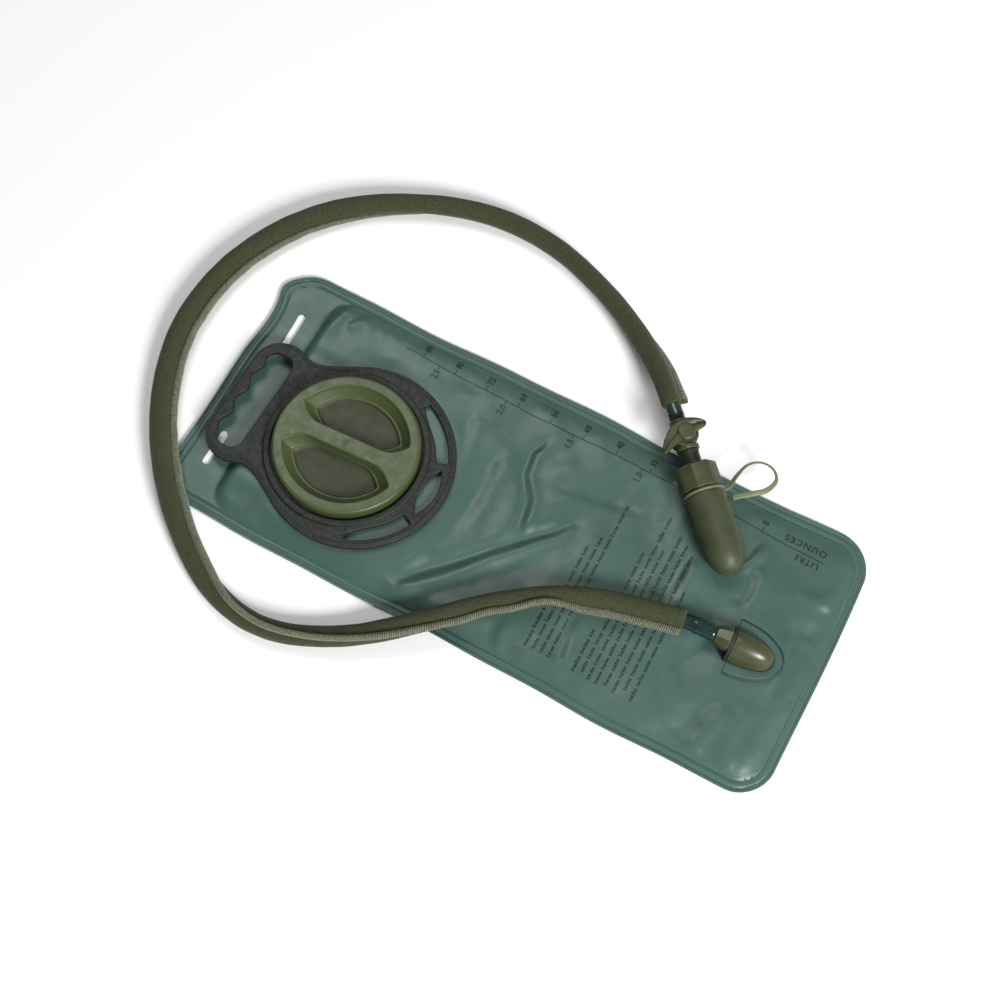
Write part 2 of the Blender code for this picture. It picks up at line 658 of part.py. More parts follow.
def build_port(frame):
    flange_top = FILM_UNDER - GAP - HOSE_AXIS_Z
    half = PORT_FLANGE_HALF
    nose = [(PORT_FLANGE_LENGTH * math.sin(t) ** 0.9, half * math.cos(t))
            for t in [math.pi * i / 24 for i in range(3, 22)]]
    start = nose[0][0]
    nose = [(6 * MM + (x - start) * (PORT_FLANGE_LENGTH - 6 * MM) / (PORT_FLANGE_LENGTH - start), y)
            for x, y in nose]
    outline = [(0, -half + 3 * MM), (1 * MM, -half + 1 * MM), (3 * MM, -half)]
    outline += nose[::-1]
    outline += [(3 * MM, half), (1 * MM, half - 1 * MM), (0, half - 3 * MM)]
    flange = prism(outline, flange_top - PORT_FLANGE, flange_top)
    port = piece("outlet_port", flange, port_material(), frame)
    stations = [DOME_LENGTH * math.sin(math.pi / 2 * i / 10) for i in range(10)] + [DOME_LENGTH * 0.9995]
    combine(port, piece("cut_port_dome", loft([dome_section(x) for x in stations]), parent=frame), "UNION")
    elbow = PORT_SOCKET_DEPTH + 2 * MM
    depth = -DOME_RISE - FILM_TOP
    bore_end = elbow + PORT_BORE_R * 0.8
    socket = turned([(0, -1 * MM), (PORT_SOCKET_R, -1 * MM), (PORT_SOCKET_R, PORT_SOCKET_DEPTH),
                     (PORT_BORE_R, PORT_SOCKET_DEPTH), (PORT_BORE_R, bore_end), (0, bore_end)], FINE, True)
    combine(port, piece("cut_port_socket", socket, parent=frame))
    combine(port, piece("cut_port_down", rod(PORT_BORE_R, depth, 0), parent=frame, place=(elbow, 0, 0)))


def cut_dome_hole(front, frame):
    """Opening in the front film that follows the dome with a little air round it."""
    steps = 18
    sides = [math.sin(math.pi / 2 * i / steps) for i in range(steps)]
    outline = [(-DOME_AIR, DOME_HALF + DOME_AIR)]
    length, half = DOME_LENGTH + DOME_AIR, DOME_HALF + DOME_AIR
    outline += [(length * s, half * (1 - s ** 2.6) ** (1 / 2.6)) for s in sides]
    outline.append((DOME_LENGTH + 1.5 * DOME_AIR, DOME_AIR))
    outline += [(x, -y) for x, y in reversed(outline)]
    low = WELD_TOP - HOSE_AXIS_Z
    combine(front, piece("cut_dome_hole", prism(outline, low, 0), parent=frame))


def build_connector(frame):
    face = -GAP
    back = face - SEAL_THICKNESS
    above_film = FILM_TOP + GAP
    seal = loft([dome_section(x, SEAL_MARGIN, above_film) for x in (back, face)])
    plate = piece("outlet_seal", seal, rubber_material(), frame)
    hole = rod(PORT_SOCKET_R, back - 1 * MM, 1 * MM, along_x=True)
    combine(plate, piece("cut_seal_hole", hole, parent=frame))
    collar_end = back - GAP
    turns = [2 * math.pi * (i + 0.5) / CONNECTOR_SIDES for i in range(CONNECTOR_SIDES)]
    small_r = TUBE_R + CONNECTOR_LIP
    sizes = [(collar_end, CONNECTOR_BIG_R - 0.8 * MM), (collar_end - 0.8 * MM, CONNECTOR_BIG_R),
             (collar_end - CONNECTOR_LENGTH * 0.45, CONNECTOR_BIG_R - 0.6 * MM),
             (collar_end - CONNECTOR_LENGTH, small_r)]
    rings = [[(x, r * math.cos(t), r * math.sin(t)) for t in turns] for x, r in sizes]
    connector = piece("hose_connector", loft(rings), port_material(), frame)
    spigot_r = PORT_SOCKET_R - SPIGOT_GAP
    groove = groove_floor(PORT_SOCKET_R)
    mid = PORT_SOCKET_DEPTH / 2
    half = ORING_R + ORING_SIDE
    tip = PORT_SOCKET_DEPTH - GAP
    profile = [(0, collar_end - 1 * MM), (spigot_r, collar_end - 1 * MM), (spigot_r, mid - half),
               (groove, mid - half), (groove, mid + half), (spigot_r, mid + half), (spigot_r, tip), (0, tip)]
    combine(connector, piece("cut_spigot", turned(profile, FINE, True), parent=frame), "UNION")
    flow = rod(FLOW_R, collar_end - CONNECTOR_LENGTH - 1 * MM, tip + 1 * MM, along_x=True)
    combine(connector, piece("cut_connector_flow", flow, parent=frame))
    o_ring("connector_oring", PORT_SOCKET_R, True, (mid, 0, 0), frame)
    return collar_end - CONNECTOR_LENGTH - GAP


# ---------------------------------------------------------------- hose

def local_point(origin, turn, along, across=0.0, up=0.0):
    return origin + Matrix.Rotation(turn, 3, "Z") @ Vector((along, across, up))


def hose_path(outlet_end):
    """Smooth centreline from the outlet connector's face to the shut-off valve's inlet."""
    start = [local_point(OUTLET_AXIS, OUTLET_TURN, outlet_end - d * MM) for d in (0, 10, 20)]
    free = [Vector(p) * MM for p in HOSE_ROUTE_MM]
    end = [local_point(BITE_AXIS, BITE_TURN, d * MM) for d in (-9, 0)]
    end.append(local_point(BITE_AXIS, BITE_TURN, BARE_AT_VALVE))
    return smooth_path(start + free + end)


def build_hose(outlet_end):
    path = hose_path(outlet_end)
    total = path_length(path)
    stations = [total * i / (HOSE_POINTS - 1) for i in range(HOSE_POINTS)]
    points = [at_length(path, s) for s in stations]
    curve = bpy.data.curves.new("drinking_tube", "CURVE")
    curve.dimensions = "3D"
    curve.bevel_depth = TUBE_R
    curve.bevel_resolution = 2
    curve.render_resolution_u = 0
    curve.use_fill_caps = True
    spline = curve.splines.new("POLY")
    spline.points.add(len(points) - 1)
    for knot, point in zip(spline.points, points):
        knot.co = (*point, 1)
    spline.use_smooth = True
    curve.materials.append(tube_material())
    tube = bpy.data.objects.new("drinking_tube", curve)
    bpy.context.collection.objects.link(tube)
    inside = [s for s in stations if BARE_AT_OUTLET + 3 * MM < s < total - BARE_AT_VALVE - 3 * MM]
    covered = [at_length(points, s) for s in [BARE_AT_OUTLET] + inside + [total - BARE_AT_VALVE]]
    turns = [2 * math.pi * i / SLEEVE_SIDES for i in range(SLEEVE_SIDES)]
    frames = path_frames(covered)
    bore, skin = [[[point + r * (math.cos(t) * level + math.sin(t) * up) for t in turns]
                   for point, level, up in frames] for r in (SLEEVE_BORE_R, SLEEVE_R)]
    piece("tube_sleeve", loft(skin + bore[::-1], loop=True), sleeve_material())


# ---------------------------------------------------------------- bite end

def build_valve(frame):
    start, end = VALVE_START, VALVE_START + VALVE_LENGTH
    inlet_r = TUBE_R + VALVE_INLET_LIP
    profile = [(0, start), (inlet_r, start), (inlet_r, start + 3 * MM),
               (VALVE_BODY_R, start + 4 * MM), (VALVE_BODY_R, end - 3 * MM),
               (VALVE_BODY_R + 0.5 * MM, end - 2.5 * MM), (VALVE_BODY_R + 0.5 * MM, end), (0, end)]
    body = piece("valve_body", turned(profile, FINE, True), valve_material(), frame)
    pivot = (PIVOT_S, 0, 0)
    barrel = turned([(0, -BARREL_BOTTOM), (BARREL_R - 1 * MM, -BARREL_BOTTOM),
                     (BARREL_R, 1 * MM - BARREL_BOTTOM), (BARREL_R, BARREL_TOP - 0.8 * MM),
                     (BARREL_R - 0.8 * MM, BARREL_TOP), (0, BARREL_TOP)], FINE)
    combine(body, piece("cut_valve_barrel", barrel, parent=frame, place=pivot), "UNION")
    seat_r = STEM_SPIGOT_R + SPINDLE_FIT
    seat = end - STEM_SPIGOT_LENGTH
    flow = turned([(0, start - 1 * MM), (FLOW_R, start - 1 * MM), (FLOW_R, seat), (seat_r, seat),
                   (seat_r, end + 1 * MM), (0, end + 1 * MM)], FINE, True)
    combine(body, piece("cut_valve_flow", flow, parent=frame))
    well = rod(SPINDLE_R + SPINDLE_FIT, -SPINDLE_FLOOR, BARREL_TOP + 1 * MM)
    combine(body, piece("cut_spindle_well", well, parent=frame, place=pivot))


def build_lever(frame):
    """The lever and its spindle, modelled crosswise (closed) in a frame on the pivot."""
    turn = frame_empty("lever_frame", (PIVOT_S, 0, 0), LEVER_TURN, frame)
    bore_r = SPINDLE_R + SPINDLE_FIT
    groove = groove_floor(bore_r)
    ring_z = BARREL_TOP - 2.2 * MM
    half = ORING_R + ORING_SIDE
    top = BARREL_TOP + GAP
    profile = [(0, GAP - SPINDLE_FLOOR), (SPINDLE_R, GAP - SPINDLE_FLOOR), (SPINDLE_R, ring_z - half),
               (groove, ring_z - half), (groove, ring_z + half), (SPINDLE_R, ring_z + half),
               (SPINDLE_R, top), (0, top)]
    spindle = piece("valve_spindle", turned(profile, FINE), stem_material(), turn)
    head = box(-DRIVE_HALF, DRIVE_HALF, -DRIVE_HALF, DRIVE_HALF, top - 1 * MM, top + DRIVE_HEIGHT)
    combine(spindle, piece("cut_drive_head", head, parent=turn), "UNION")
    port = rod(FLOW_R, -BARREL_R, BARREL_R)
    bmesh.ops.rotate(port, verts=port.verts, matrix=Matrix.Rotation(math.pi / 2, 3, "X"))
    combine(spindle, piece("cut_spindle_port", port, parent=turn))
    o_ring("spindle_oring", bore_r, False, (0, 0, ring_z), turn)
    under = top + GAP
    ridge = []
    for i in range(17):
        y = -LEVER_LONG_ARM + (LEVER_LONG_ARM + LEVER_SHORT_ARM) * i / 16
        share = abs(y) / LEVER_LONG_ARM
        x = LEVER_BOW * share ** 2 - LEVER_BOW / 2
        end = min(1, (1 - abs(2 * i / 16 - 1)) * 5)
        ridge.append((x, y, LEVER_HALF_WIDTH * (0.35 + 0.65 * math.sqrt(end))))
    outline = [(x + w, y) for x, y, w in ridge] + [(x - w, y) for x, y, w in reversed(ridge)]
    small = [(x + w * 0.8, y * 0.97) for x, y, w in ridge]
    small += [(x - w * 0.8, y * 0.97) for x, y, w in reversed(ridge)]
    levels = [(outline, under), (outline, under + LEVER_THICKNESS * 0.65), (small, under + LEVER_THICKNESS)]
    rings = [[(x, y, z) for x, y in shape] for shape, z in levels]
    lever = piece("shutoff_lever", loft(rings), valve_material(), turn)
    hub_top = under + LEVER_HUB_HEIGHT
    hub = turned([(0, under), (LEVER_HUB_R, under), (LEVER_HUB_R, hub_top - 0.8 * MM),
                  (LEVER_HUB_R - 0.8 * MM, hub_top), (0, hub_top)], FINE)
    combine(lever, piece("cut_lever_hub", hub, parent=turn), "UNION")
    socket = DRIVE_HALF + GAP
    hole = box(-socket, socket, -socket, socket, under - 1 * MM, top + DRIVE_HEIGHT + GAP)
    combine(lever, piece("cut_drive_socket", hole, parent=turn))


def build_stem(frame):
    start = STEM_START
    shoulder = start + STEM_NECK_LENGTH
    nipple = shoulder + STEM_SHOULDER
    end = nipple + STEM_NIPPLE_LENGTH
    spigot = start - STEM_SPIGOT_LENGTH
    bore_r = STEM_SPIGOT_R + SPINDLE_FIT
    groove = groove_floor(bore_r)
    ring_s = start - STEM_SPIGOT_LENGTH / 2
    half = ORING_R + ORING_SIDE
    flow = groove - 0.7 * MM
    profile = [(flow, spigot), (STEM_SPIGOT_R, spigot), (STEM_SPIGOT_R, ring_s - half),
               (groove, ring_s - half), (groove, ring_s + half), (STEM_SPIGOT_R, ring_s + half),
               (STEM_SPIGOT_R, start), (STEM_NECK_R, start), (STEM_NECK_R, shoulder),
               (STEM_SHOULDER_R, shoulder), (STEM_SHOULDER_R, nipple), (STEM_NIPPLE_R, nipple),
               (STEM_NIPPLE_R - 0.6 * MM, end), (flow, end)]
    piece("mouth_stem", turned(profile, FINE, True), stem_material(), frame)
    o_ring("stem_oring", bore_r, True, (ring_s, 0, 0), frame)
    return nipple


def build_hex_collar(frame):
    turns = [2 * math.pi * (i + 0.5) / HEX_SIDES for i in range(HEX_SIDES)]
    small = HEX_R - HEX_CHAMFER
    sizes = [(HEX_START, small), (HEX_START + HEX_CHAMFER, HEX_R),
             (HEX_END - HEX_CHAMFER, HEX_R), (HEX_END, small)]
    rings = [[(x, r * math.cos(t), r * math.sin(t)) for t in turns] for x, r in sizes]
    collar = piece("bite_collar", loft(rings), valve_material(), frame)
    neck_r = STEM_NECK_R + GAP
    cup_r = MOUTH_BASE_R + GAP
    cup = HEX_START + HEX_BACK_WALL
    bore = turned([(0, HEX_START - 1 * MM), (neck_r, HEX_START - 1 * MM), (neck_r, cup), (cup_r, cup),
                   (cup_r, HEX_END + 1 * MM), (0, HEX_END + 1 * MM)], FINE, True)
    combine(collar, piece("cut_collar_bore", bore, parent=frame))


def build_mouthpiece(frame, seat):
    base = seat + GAP
    neck = base + MOUTH_BASE
    tip = HEX_END + MOUTH_BEYOND
    bore = STEM_NIPPLE_R + GAP
    chamber = base + STEM_NIPPLE_LENGTH + 2 * MM
    inner_tip = tip - MOUTH_TIP_WALL
    profile = [(bore, base), (MOUTH_BASE_R, base), (MOUTH_BASE_R, neck), (MOUTH_BODY_R, neck),
               (MOUTH_BODY_R, HEX_END + 3 * MM), (MOUTH_BODY_R - 1 * MM, HEX_END + 9 * MM),
               (MOUTH_TIP_R + 0.6 * MM, tip - 8 * MM), (MOUTH_TIP_R, tip - 2 * MM),
               (MOUTH_TIP_R - 1.5 * MM, tip), (0, tip), (0, inner_tip),
               (MOUTH_TIP_R - 2 * MM, inner_tip), (MOUTH_CHAMBER_R, chamber + 3 * MM), (bore, chamber)]
    mouth = piece("bite_valve", turned(profile, FINE, True), silicone_material(), frame)
    thin, wide = MOUTH_SLIT
    slit = box(inner_tip - 1 * MM, tip + 1 * MM, -wide / 2, wide / 2, -thin / 2, thin / 2)
    combine(mouth, piece("cut_mouth_slit", slit, parent=frame))


def build_tether(frame):
    inner = MOUTH_BODY_R + TETHER_FIT
    start, end = RING_START, RING_START + TETHER_RING
    profile = [(inner, start), (TETHER_RING_R - 0.4 * MM, start), (TETHER_RING_R, start + 0.4 * MM),
               (TETHER_RING_R, end - 0.4 * MM), (TETHER_RING_R - 0.4 * MM, end), (inner, end)]
    ring = piece("cover_tether", turned(profile, 40, True), strap_material(), frame)
    middle = RING_START + TETHER_RING / 2
    root = Vector((0, inner + 1.5 * MM, 0))
    loop = [root] + [Vector(p) * MM for p in STRAP_LOOP_MM]
    path = [p + Vector((middle, 0, 0)) for p in smooth_path(loop, 3)]
    wide, thin = STRAP_WIDTH / 2, STRAP_THICKNESS / 2
    section = [(thin, -wide), (thin, wide), (-thin, wide), (-thin, -wide)]
    rings = []
    for i, (point, level, up) in enumerate(path_frames(path)):
        share = min(1, i / 6)
        half = min(thin, TETHER_RING / 2 - 0.2 * MM)
        rings.append([point + level * math.copysign(half + (thin - half) * share, a) + up * b
                      for a, b in section])
    combine(ring, piece("cut_strap", loft(rings), parent=frame), "UNION")


def cover_profile(radius, nose_start, tip, steps=8):
    """Nose of the dust cover: radius and place, from its straight part to the tip."""
    turns = [math.pi / 2 * i / steps for i in range(steps + 1)]
    return [(radius * math.cos(t) ** 0.8 if i < steps else 0, nose_start + (tip - nose_start) * math.sin(t))
            for i, t in enumerate(turns)]


def build_cover(frame):
    tip = COVER_START + COVER_LENGTH
    nose = tip - COVER_NOSE
    outer = cover_profile(COVER_R, nose, tip)
    inner = cover_profile(COVER_R - COVER_WALL, nose - COVER_WALL / 2, tip - COVER_WALL * 1.4)
    mouth_r = COVER_R - 0.3 * MM
    profile = [(mouth_r - COVER_WALL, COVER_START), (mouth_r, COVER_START)] + outer + inner[::-1]
    cover = piece("bite_cover", turned(profile, 32, True), cover_material(), frame)
    long, deep, tall = LUG_SIZE
    x = COVER_START + LUG_FROM_MOUTH
    y = COVER_R - COVER_WALL / 2
    lug = box(x - long / 2, x + long / 2, y, COVER_R + deep, -tall / 2, tall / 2)
    combine(cover, piece("cut_cover_lug", lug, parent=frame), "UNION")


# ---------------------------------------------------------------- the whole object

def main():
    clear_scene()
    slots = hang_slot_cutters()
    front = build_films(slots)
    filler = frame_empty("filler_frame", CAP_AXIS)
    collar_frame = frame_empty("collar_frame", CAP_AXIS, COLLAR_TURN)
    build_neck(filler)
    build_collar(collar_frame)
    build_cap(filler)
    build_gasket(filler)
    outlet = frame_empty("outlet_frame", OUTLET_AXIS, OUTLET_TURN)
    build_port(outlet)
    cut_dome_hole(front, outlet)
    hose_start = build_connector(outlet)
    build_hose(hose_start)
    bite = frame_empty("bite_frame", BITE_AXIS, BITE_TURN)
    build_valve(bite)
    build_lever(bite)
    nipple = build_stem(bite)
    build_hex_collar(bite)
    build_mouthpiece(bite, nipple)
    build_tether(bite)
    build_cover(bite)
    bpy.context.view_layer.update()


main()
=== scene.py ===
"""Looks of the hydration bladder: films, cap, collar, hose with its sleeve, and bite end."""
import math

import bmesh
import bpy
import numpy as np
from mathutils import Matrix, Vector, noise
from mathutils.geometry import delaunay_2d_cdt


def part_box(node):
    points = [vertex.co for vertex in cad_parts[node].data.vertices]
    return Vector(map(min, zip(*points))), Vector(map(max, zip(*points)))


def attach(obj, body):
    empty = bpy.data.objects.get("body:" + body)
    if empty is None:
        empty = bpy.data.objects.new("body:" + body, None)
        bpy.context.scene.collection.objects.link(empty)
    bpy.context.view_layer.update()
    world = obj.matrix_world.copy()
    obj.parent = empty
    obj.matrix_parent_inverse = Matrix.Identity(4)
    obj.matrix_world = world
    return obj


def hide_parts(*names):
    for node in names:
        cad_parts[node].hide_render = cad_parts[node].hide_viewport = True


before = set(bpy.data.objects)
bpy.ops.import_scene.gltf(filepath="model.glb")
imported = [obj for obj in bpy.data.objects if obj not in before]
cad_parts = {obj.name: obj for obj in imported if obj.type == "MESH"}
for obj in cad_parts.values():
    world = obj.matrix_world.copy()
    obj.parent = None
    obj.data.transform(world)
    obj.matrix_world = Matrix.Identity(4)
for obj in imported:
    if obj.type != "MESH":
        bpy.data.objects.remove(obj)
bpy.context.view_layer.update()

MM = 0.001


# ---------------------------------------------------------------- places that follow from the frame

def middle_of(node):
    low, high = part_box(node)
    return (low + high) / 2


BAG_LOW, BAG_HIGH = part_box("back_film")
HALF_LENGTH = (BAG_HIGH.x - BAG_LOW.x) / 2
HALF_WIDTH = (BAG_HIGH.y - BAG_LOW.y) / 2
FILM = BAG_HIGH.z
FILM_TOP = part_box("front_film")[1].z
WELD_TOP = FILM + 0.9 * MM
CAP_AXIS = middle_of("cap_shell") * Vector((1, 1, 0))
CAP_R = (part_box("cap_shell")[1].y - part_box("cap_shell")[0].y) / 2
CAP_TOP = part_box("cap_shell")[1].z
CAP_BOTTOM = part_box("cap_shell")[0].z
COLLAR_BOTTOM, COLLAR_STEP_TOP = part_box("handle_collar")[0].z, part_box("handle_collar")[1].z
COLLAR_TOP = COLLAR_BOTTOM + 4 * MM
NECK_R = 40.4 * MM
HOSE_AXIS_Z = 14.5 * MM
OUTLET_AXIS = Vector((147 * MM, -9.7 * MM, HOSE_AXIS_Z))
OUTLET_TURN = math.radians(4)
BITE_AXIS = Vector((52.1 * MM, 105.0 * MM, middle_of("bite_cover").z))
BITE_TURN = math.radians(-46.3)
TUBE_R = 4.75 * MM
CONNECTOR_END = -11.6 * MM        # where the tube starts, in the outlet's own frame
BARE_AT_OUTLET = 19.5 * MM
BARE_AT_VALVE = 10 * MM
# The middle of the hose from the outlet to the bite end, as in part.py. Most of these points are the retyped
# output of a scratch script that traced the photo. They were not chosen by hand.
HOSE_ROUTE_MM = [
    (91, -17.4, 14.5), (68, -23.5, 14.5), (46, -33, 14.5), (24.5, -47, 14.5), (4, -64, 14.4),
    (-16, -83, 12.7), (-42, -104.5, 9.2), (-64, -118, 7.9), (-87, -127.3, 7.8), (-110, -129.3, 7.8),
    (-134, -123.3, 7.8), (-156.5, -110.8, 8.4), (-177.5, -94.8, 9.7), (-195, -77.5, 10.0),
    (-211.5, -56.8, 9.2), (-225, -34.3, 8.1), (-235, -9.9, 7.8), (-240.5, 14, 7.8), (-241, 39.5, 7.8),
    (-237, 65, 7.8), (-228, 89.5, 7.8), (-216, 110.6, 7.8), (-199.5, 130.3, 7.8), (-179, 147, 7.8),
    (-156.5, 160.2, 7.8), (-134, 169.8, 7.8), (-108.7, 176.2, 7.8), (-83, 177.6, 7.8),
    (-57, 174, 8.4), (-33.9, 166.3, 9.8), (-9.8, 155.2, 11.9), (12.8, 141.3, 14.4), (33.8, 124.2, 17.4),
]


# ---------------------------------------------------------------- mesh tools

def mesh_object(name, mesh, mat, body="root"):
    mesh.validate()
    mesh.shade_smooth()
    obj = bpy.data.objects.new(name, mesh)
    bpy.context.scene.collection.objects.link(obj)
    mesh.materials.append(mat)
    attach(obj, body)
    return obj


def from_bmesh(name, bm, mat, body="root", sharp=50):
    bmesh.ops.remove_doubles(bm, verts=bm.verts, dist=0.002 * MM)
    bmesh.ops.recalc_face_normals(bm, faces=bm.faces)
    mesh = bpy.data.meshes.new(name)
    bm.to_mesh(mesh)
    bm.free()
    obj = mesh_object(name, mesh, mat, body)
    mesh.set_sharp_from_angle(angle=math.radians(sharp))
    return obj


def add_loops(bm, loops, closed=False):
    """Skin through closed loops with the same number of points, and give back their vertices."""
    skin = [[bm.verts.new(p) for p in loop] for loop in loops]
    pairs = list(zip(skin, skin[1:]))
    if closed:
        pairs.append((skin[-1], skin[0]))
    count = len(loops[0])
    for a, b in pairs:
        for i in range(count):
            j = (i + 1) % count
            bm.faces.new((a[i], a[j], b[j], b[i]))
    return skin


def add_flat(bm, *borders):
    """Fill the flat area between closed rows of vertices."""
    edges = []
    for border in borders:
        for i, v in enumerate(border):
            other = border[i - 1]
            edges.append(bm.edges.get((v, other)) or bm.edges.new((v, other)))
    bmesh.ops.triangle_fill(bm, use_beauty=True, use_dissolve=False, edges=edges)


def arc(cx, cy, radius, start, end, steps):
    turns = [math.radians(start + (end - start) * i / steps) for i in range(steps + 1)]
    return [(cx + radius * math.cos(t), cy + radius * math.sin(t)) for t in turns]


def circle(radius, sides, cx=0.0, cy=0.0):
    return arc(cx, cy, radius, 0, 360, sides)[:-1]


def rounded_profile(profile, radius, steps=4):
    """Round each inner corner of an open profile of (radius, height) pairs."""
    points = [profile[0]]
    for before, corner, after in zip(profile, profile[1:], profile[2:]):
        p, c, n = Vector(before), Vector(corner), Vector(after)
        cut = min(radius, (p - c).length * 0.45, (n - c).length * 0.45)
        start = c + (p - c).normalized() * cut
        end = c + (n - c).normalized() * cut
        for i in range(steps + 1):
            t = i / steps
            points.append(tuple(start * (1 - t) ** 2 + c * 2 * t * (1 - t) + end * t ** 2))
    return points + [profile[-1]]


def turned(profile, sides, along_x=False):
    """Turn a profile of (radius, height) round Z, or round X."""
    bm = bmesh.new()
    rows = []
    for r, h in profile:
        ring = [(r * math.cos(2 * math.pi * i / sides), r * math.sin(2 * math.pi * i / sides), h)
                for i in range(sides if r > 1e-7 else 1)]
        if along_x:
            ring = [(z, y, x) for x, y, z in ring]
        rows.append([bm.verts.new(p) for p in ring])
    for a, b in zip(rows, rows[1:]):
        for i in range(sides):
            j = (i + 1) % sides
            corners = [a[i % len(a)], a[j % len(a)], b[j % len(b)], b[i % len(b)]]
            unique = list(dict.fromkeys(corners))
            if len(unique) > 2:
                bm.faces.new(unique)
    return bm


def moved(bm, place, turn):
    """Put a shape from its own frame into the object's frame."""
    matrix = Matrix.Translation(place) @ Matrix.Rotation(turn, 4, "Z")
    bmesh.ops.transform(bm, matrix=matrix, verts=bm.verts)
    return bm


def chaikin(points, rounds=2):
    """Round the corners of a closed outline."""
    for _ in range(rounds):
        cut = []
        for i, p in enumerate(points):
            q = points[(i + 1) % len(points)]
            cut.append((p[0] * 0.75 + q[0] * 0.25, p[1] * 0.75 + q[1] * 0.25))
            cut.append((p[0] * 0.25 + q[0] * 0.75, p[1] * 0.25 + q[1] * 0.75))
        points = cut
    return points


def offset(points, distance):
    """Move a closed counter-clockwise outline outwards by a distance."""
    moved_points = []
    for i, p in enumerate(points):
        a, b = points[i - 1], points[(i + 1) % len(points)]
        tangent = Vector((b[0] - a[0], b[1] - a[1]))
        if tangent.length < 1e-9:
            tangent = Vector((1, 0))
        tangent.normalize()
        moved_points.append((p[0] + tangent.y * distance, p[1] - tangent.x * distance))
    return moved_points


def at_height(points, z):
    return [(x, y, z) for x, y in points]


def smooth_path(points, per_span=10):
    """Catmull-Rom curve through the points."""
    knots = [Vector(p) for p in points]
    ends = [2 * knots[0] - knots[1]] + knots + [2 * knots[-1] - knots[-2]]
    path = []
    for i in range(len(knots) - 1):
        a, b, c, d = ends[i:i + 4]
        for step in range(per_span):
            t = step / per_span
            path.append(0.5 * (2 * b + (c - a) * t + (2 * a - 5 * b + 4 * c - d) * t ** 2
                               + (3 * b - a - 3 * c + d) * t ** 3))
    return path + [knots[-1]]


def evenly(path, start, end, count):
    """Points at even distances along a path, between two distances from its start."""
    lengths = np.concatenate([[0], np.cumsum([(b - a).length for a, b in zip(path, path[1:])])])
    wanted = np.linspace(start, lengths[-1] + end if end <= 0 else end, count)
    table = np.array([list(p) for p in path])
    return np.stack([np.interp(wanted, lengths, table[:, k]) for k in range(3)], 1), wanted


def path_length(path):
    return sum((b - a).length for a, b in zip(path, path[1:]))


def frames_along(points):
    """Unit vectors along a path, level across it, and square to both."""
    ahead = np.gradient(points, axis=0)
    ahead /= np.linalg.norm(ahead, axis=1)[:, None]
    level = np.cross(np.array([0, 0, 1.0]), ahead)
    level /= np.linalg.norm(level, axis=1)[:, None]
    return ahead, level, np.cross(ahead, level)


def tube_mesh(name, rings):
    """Mesh of a tube with closed ends, from an array of rings (count, sides, 3)."""
    count, sides, _ = rings.shape
    verts = rings.reshape(-1, 3).tolist()
    faces = []
    for i in range(count - 1):
        for j in range(sides):
            k = (j + 1) % sides
            faces.append((i * sides + j, i * sides + k, (i + 1) * sides + k, (i + 1) * sides + j))
    faces.append(tuple(range(sides))[::-1])
    faces.append(tuple((count - 1) * sides + j for j in range(sides)))
    mesh = bpy.data.meshes.new(name)
    mesh.from_pydata(verts, [], faces)
    return mesh


def smoothstep(x):
    x = np.clip(x, 0, 1)
    return x * x * (3 - 2 * x)


# ---------------------------------------------------------------- materials

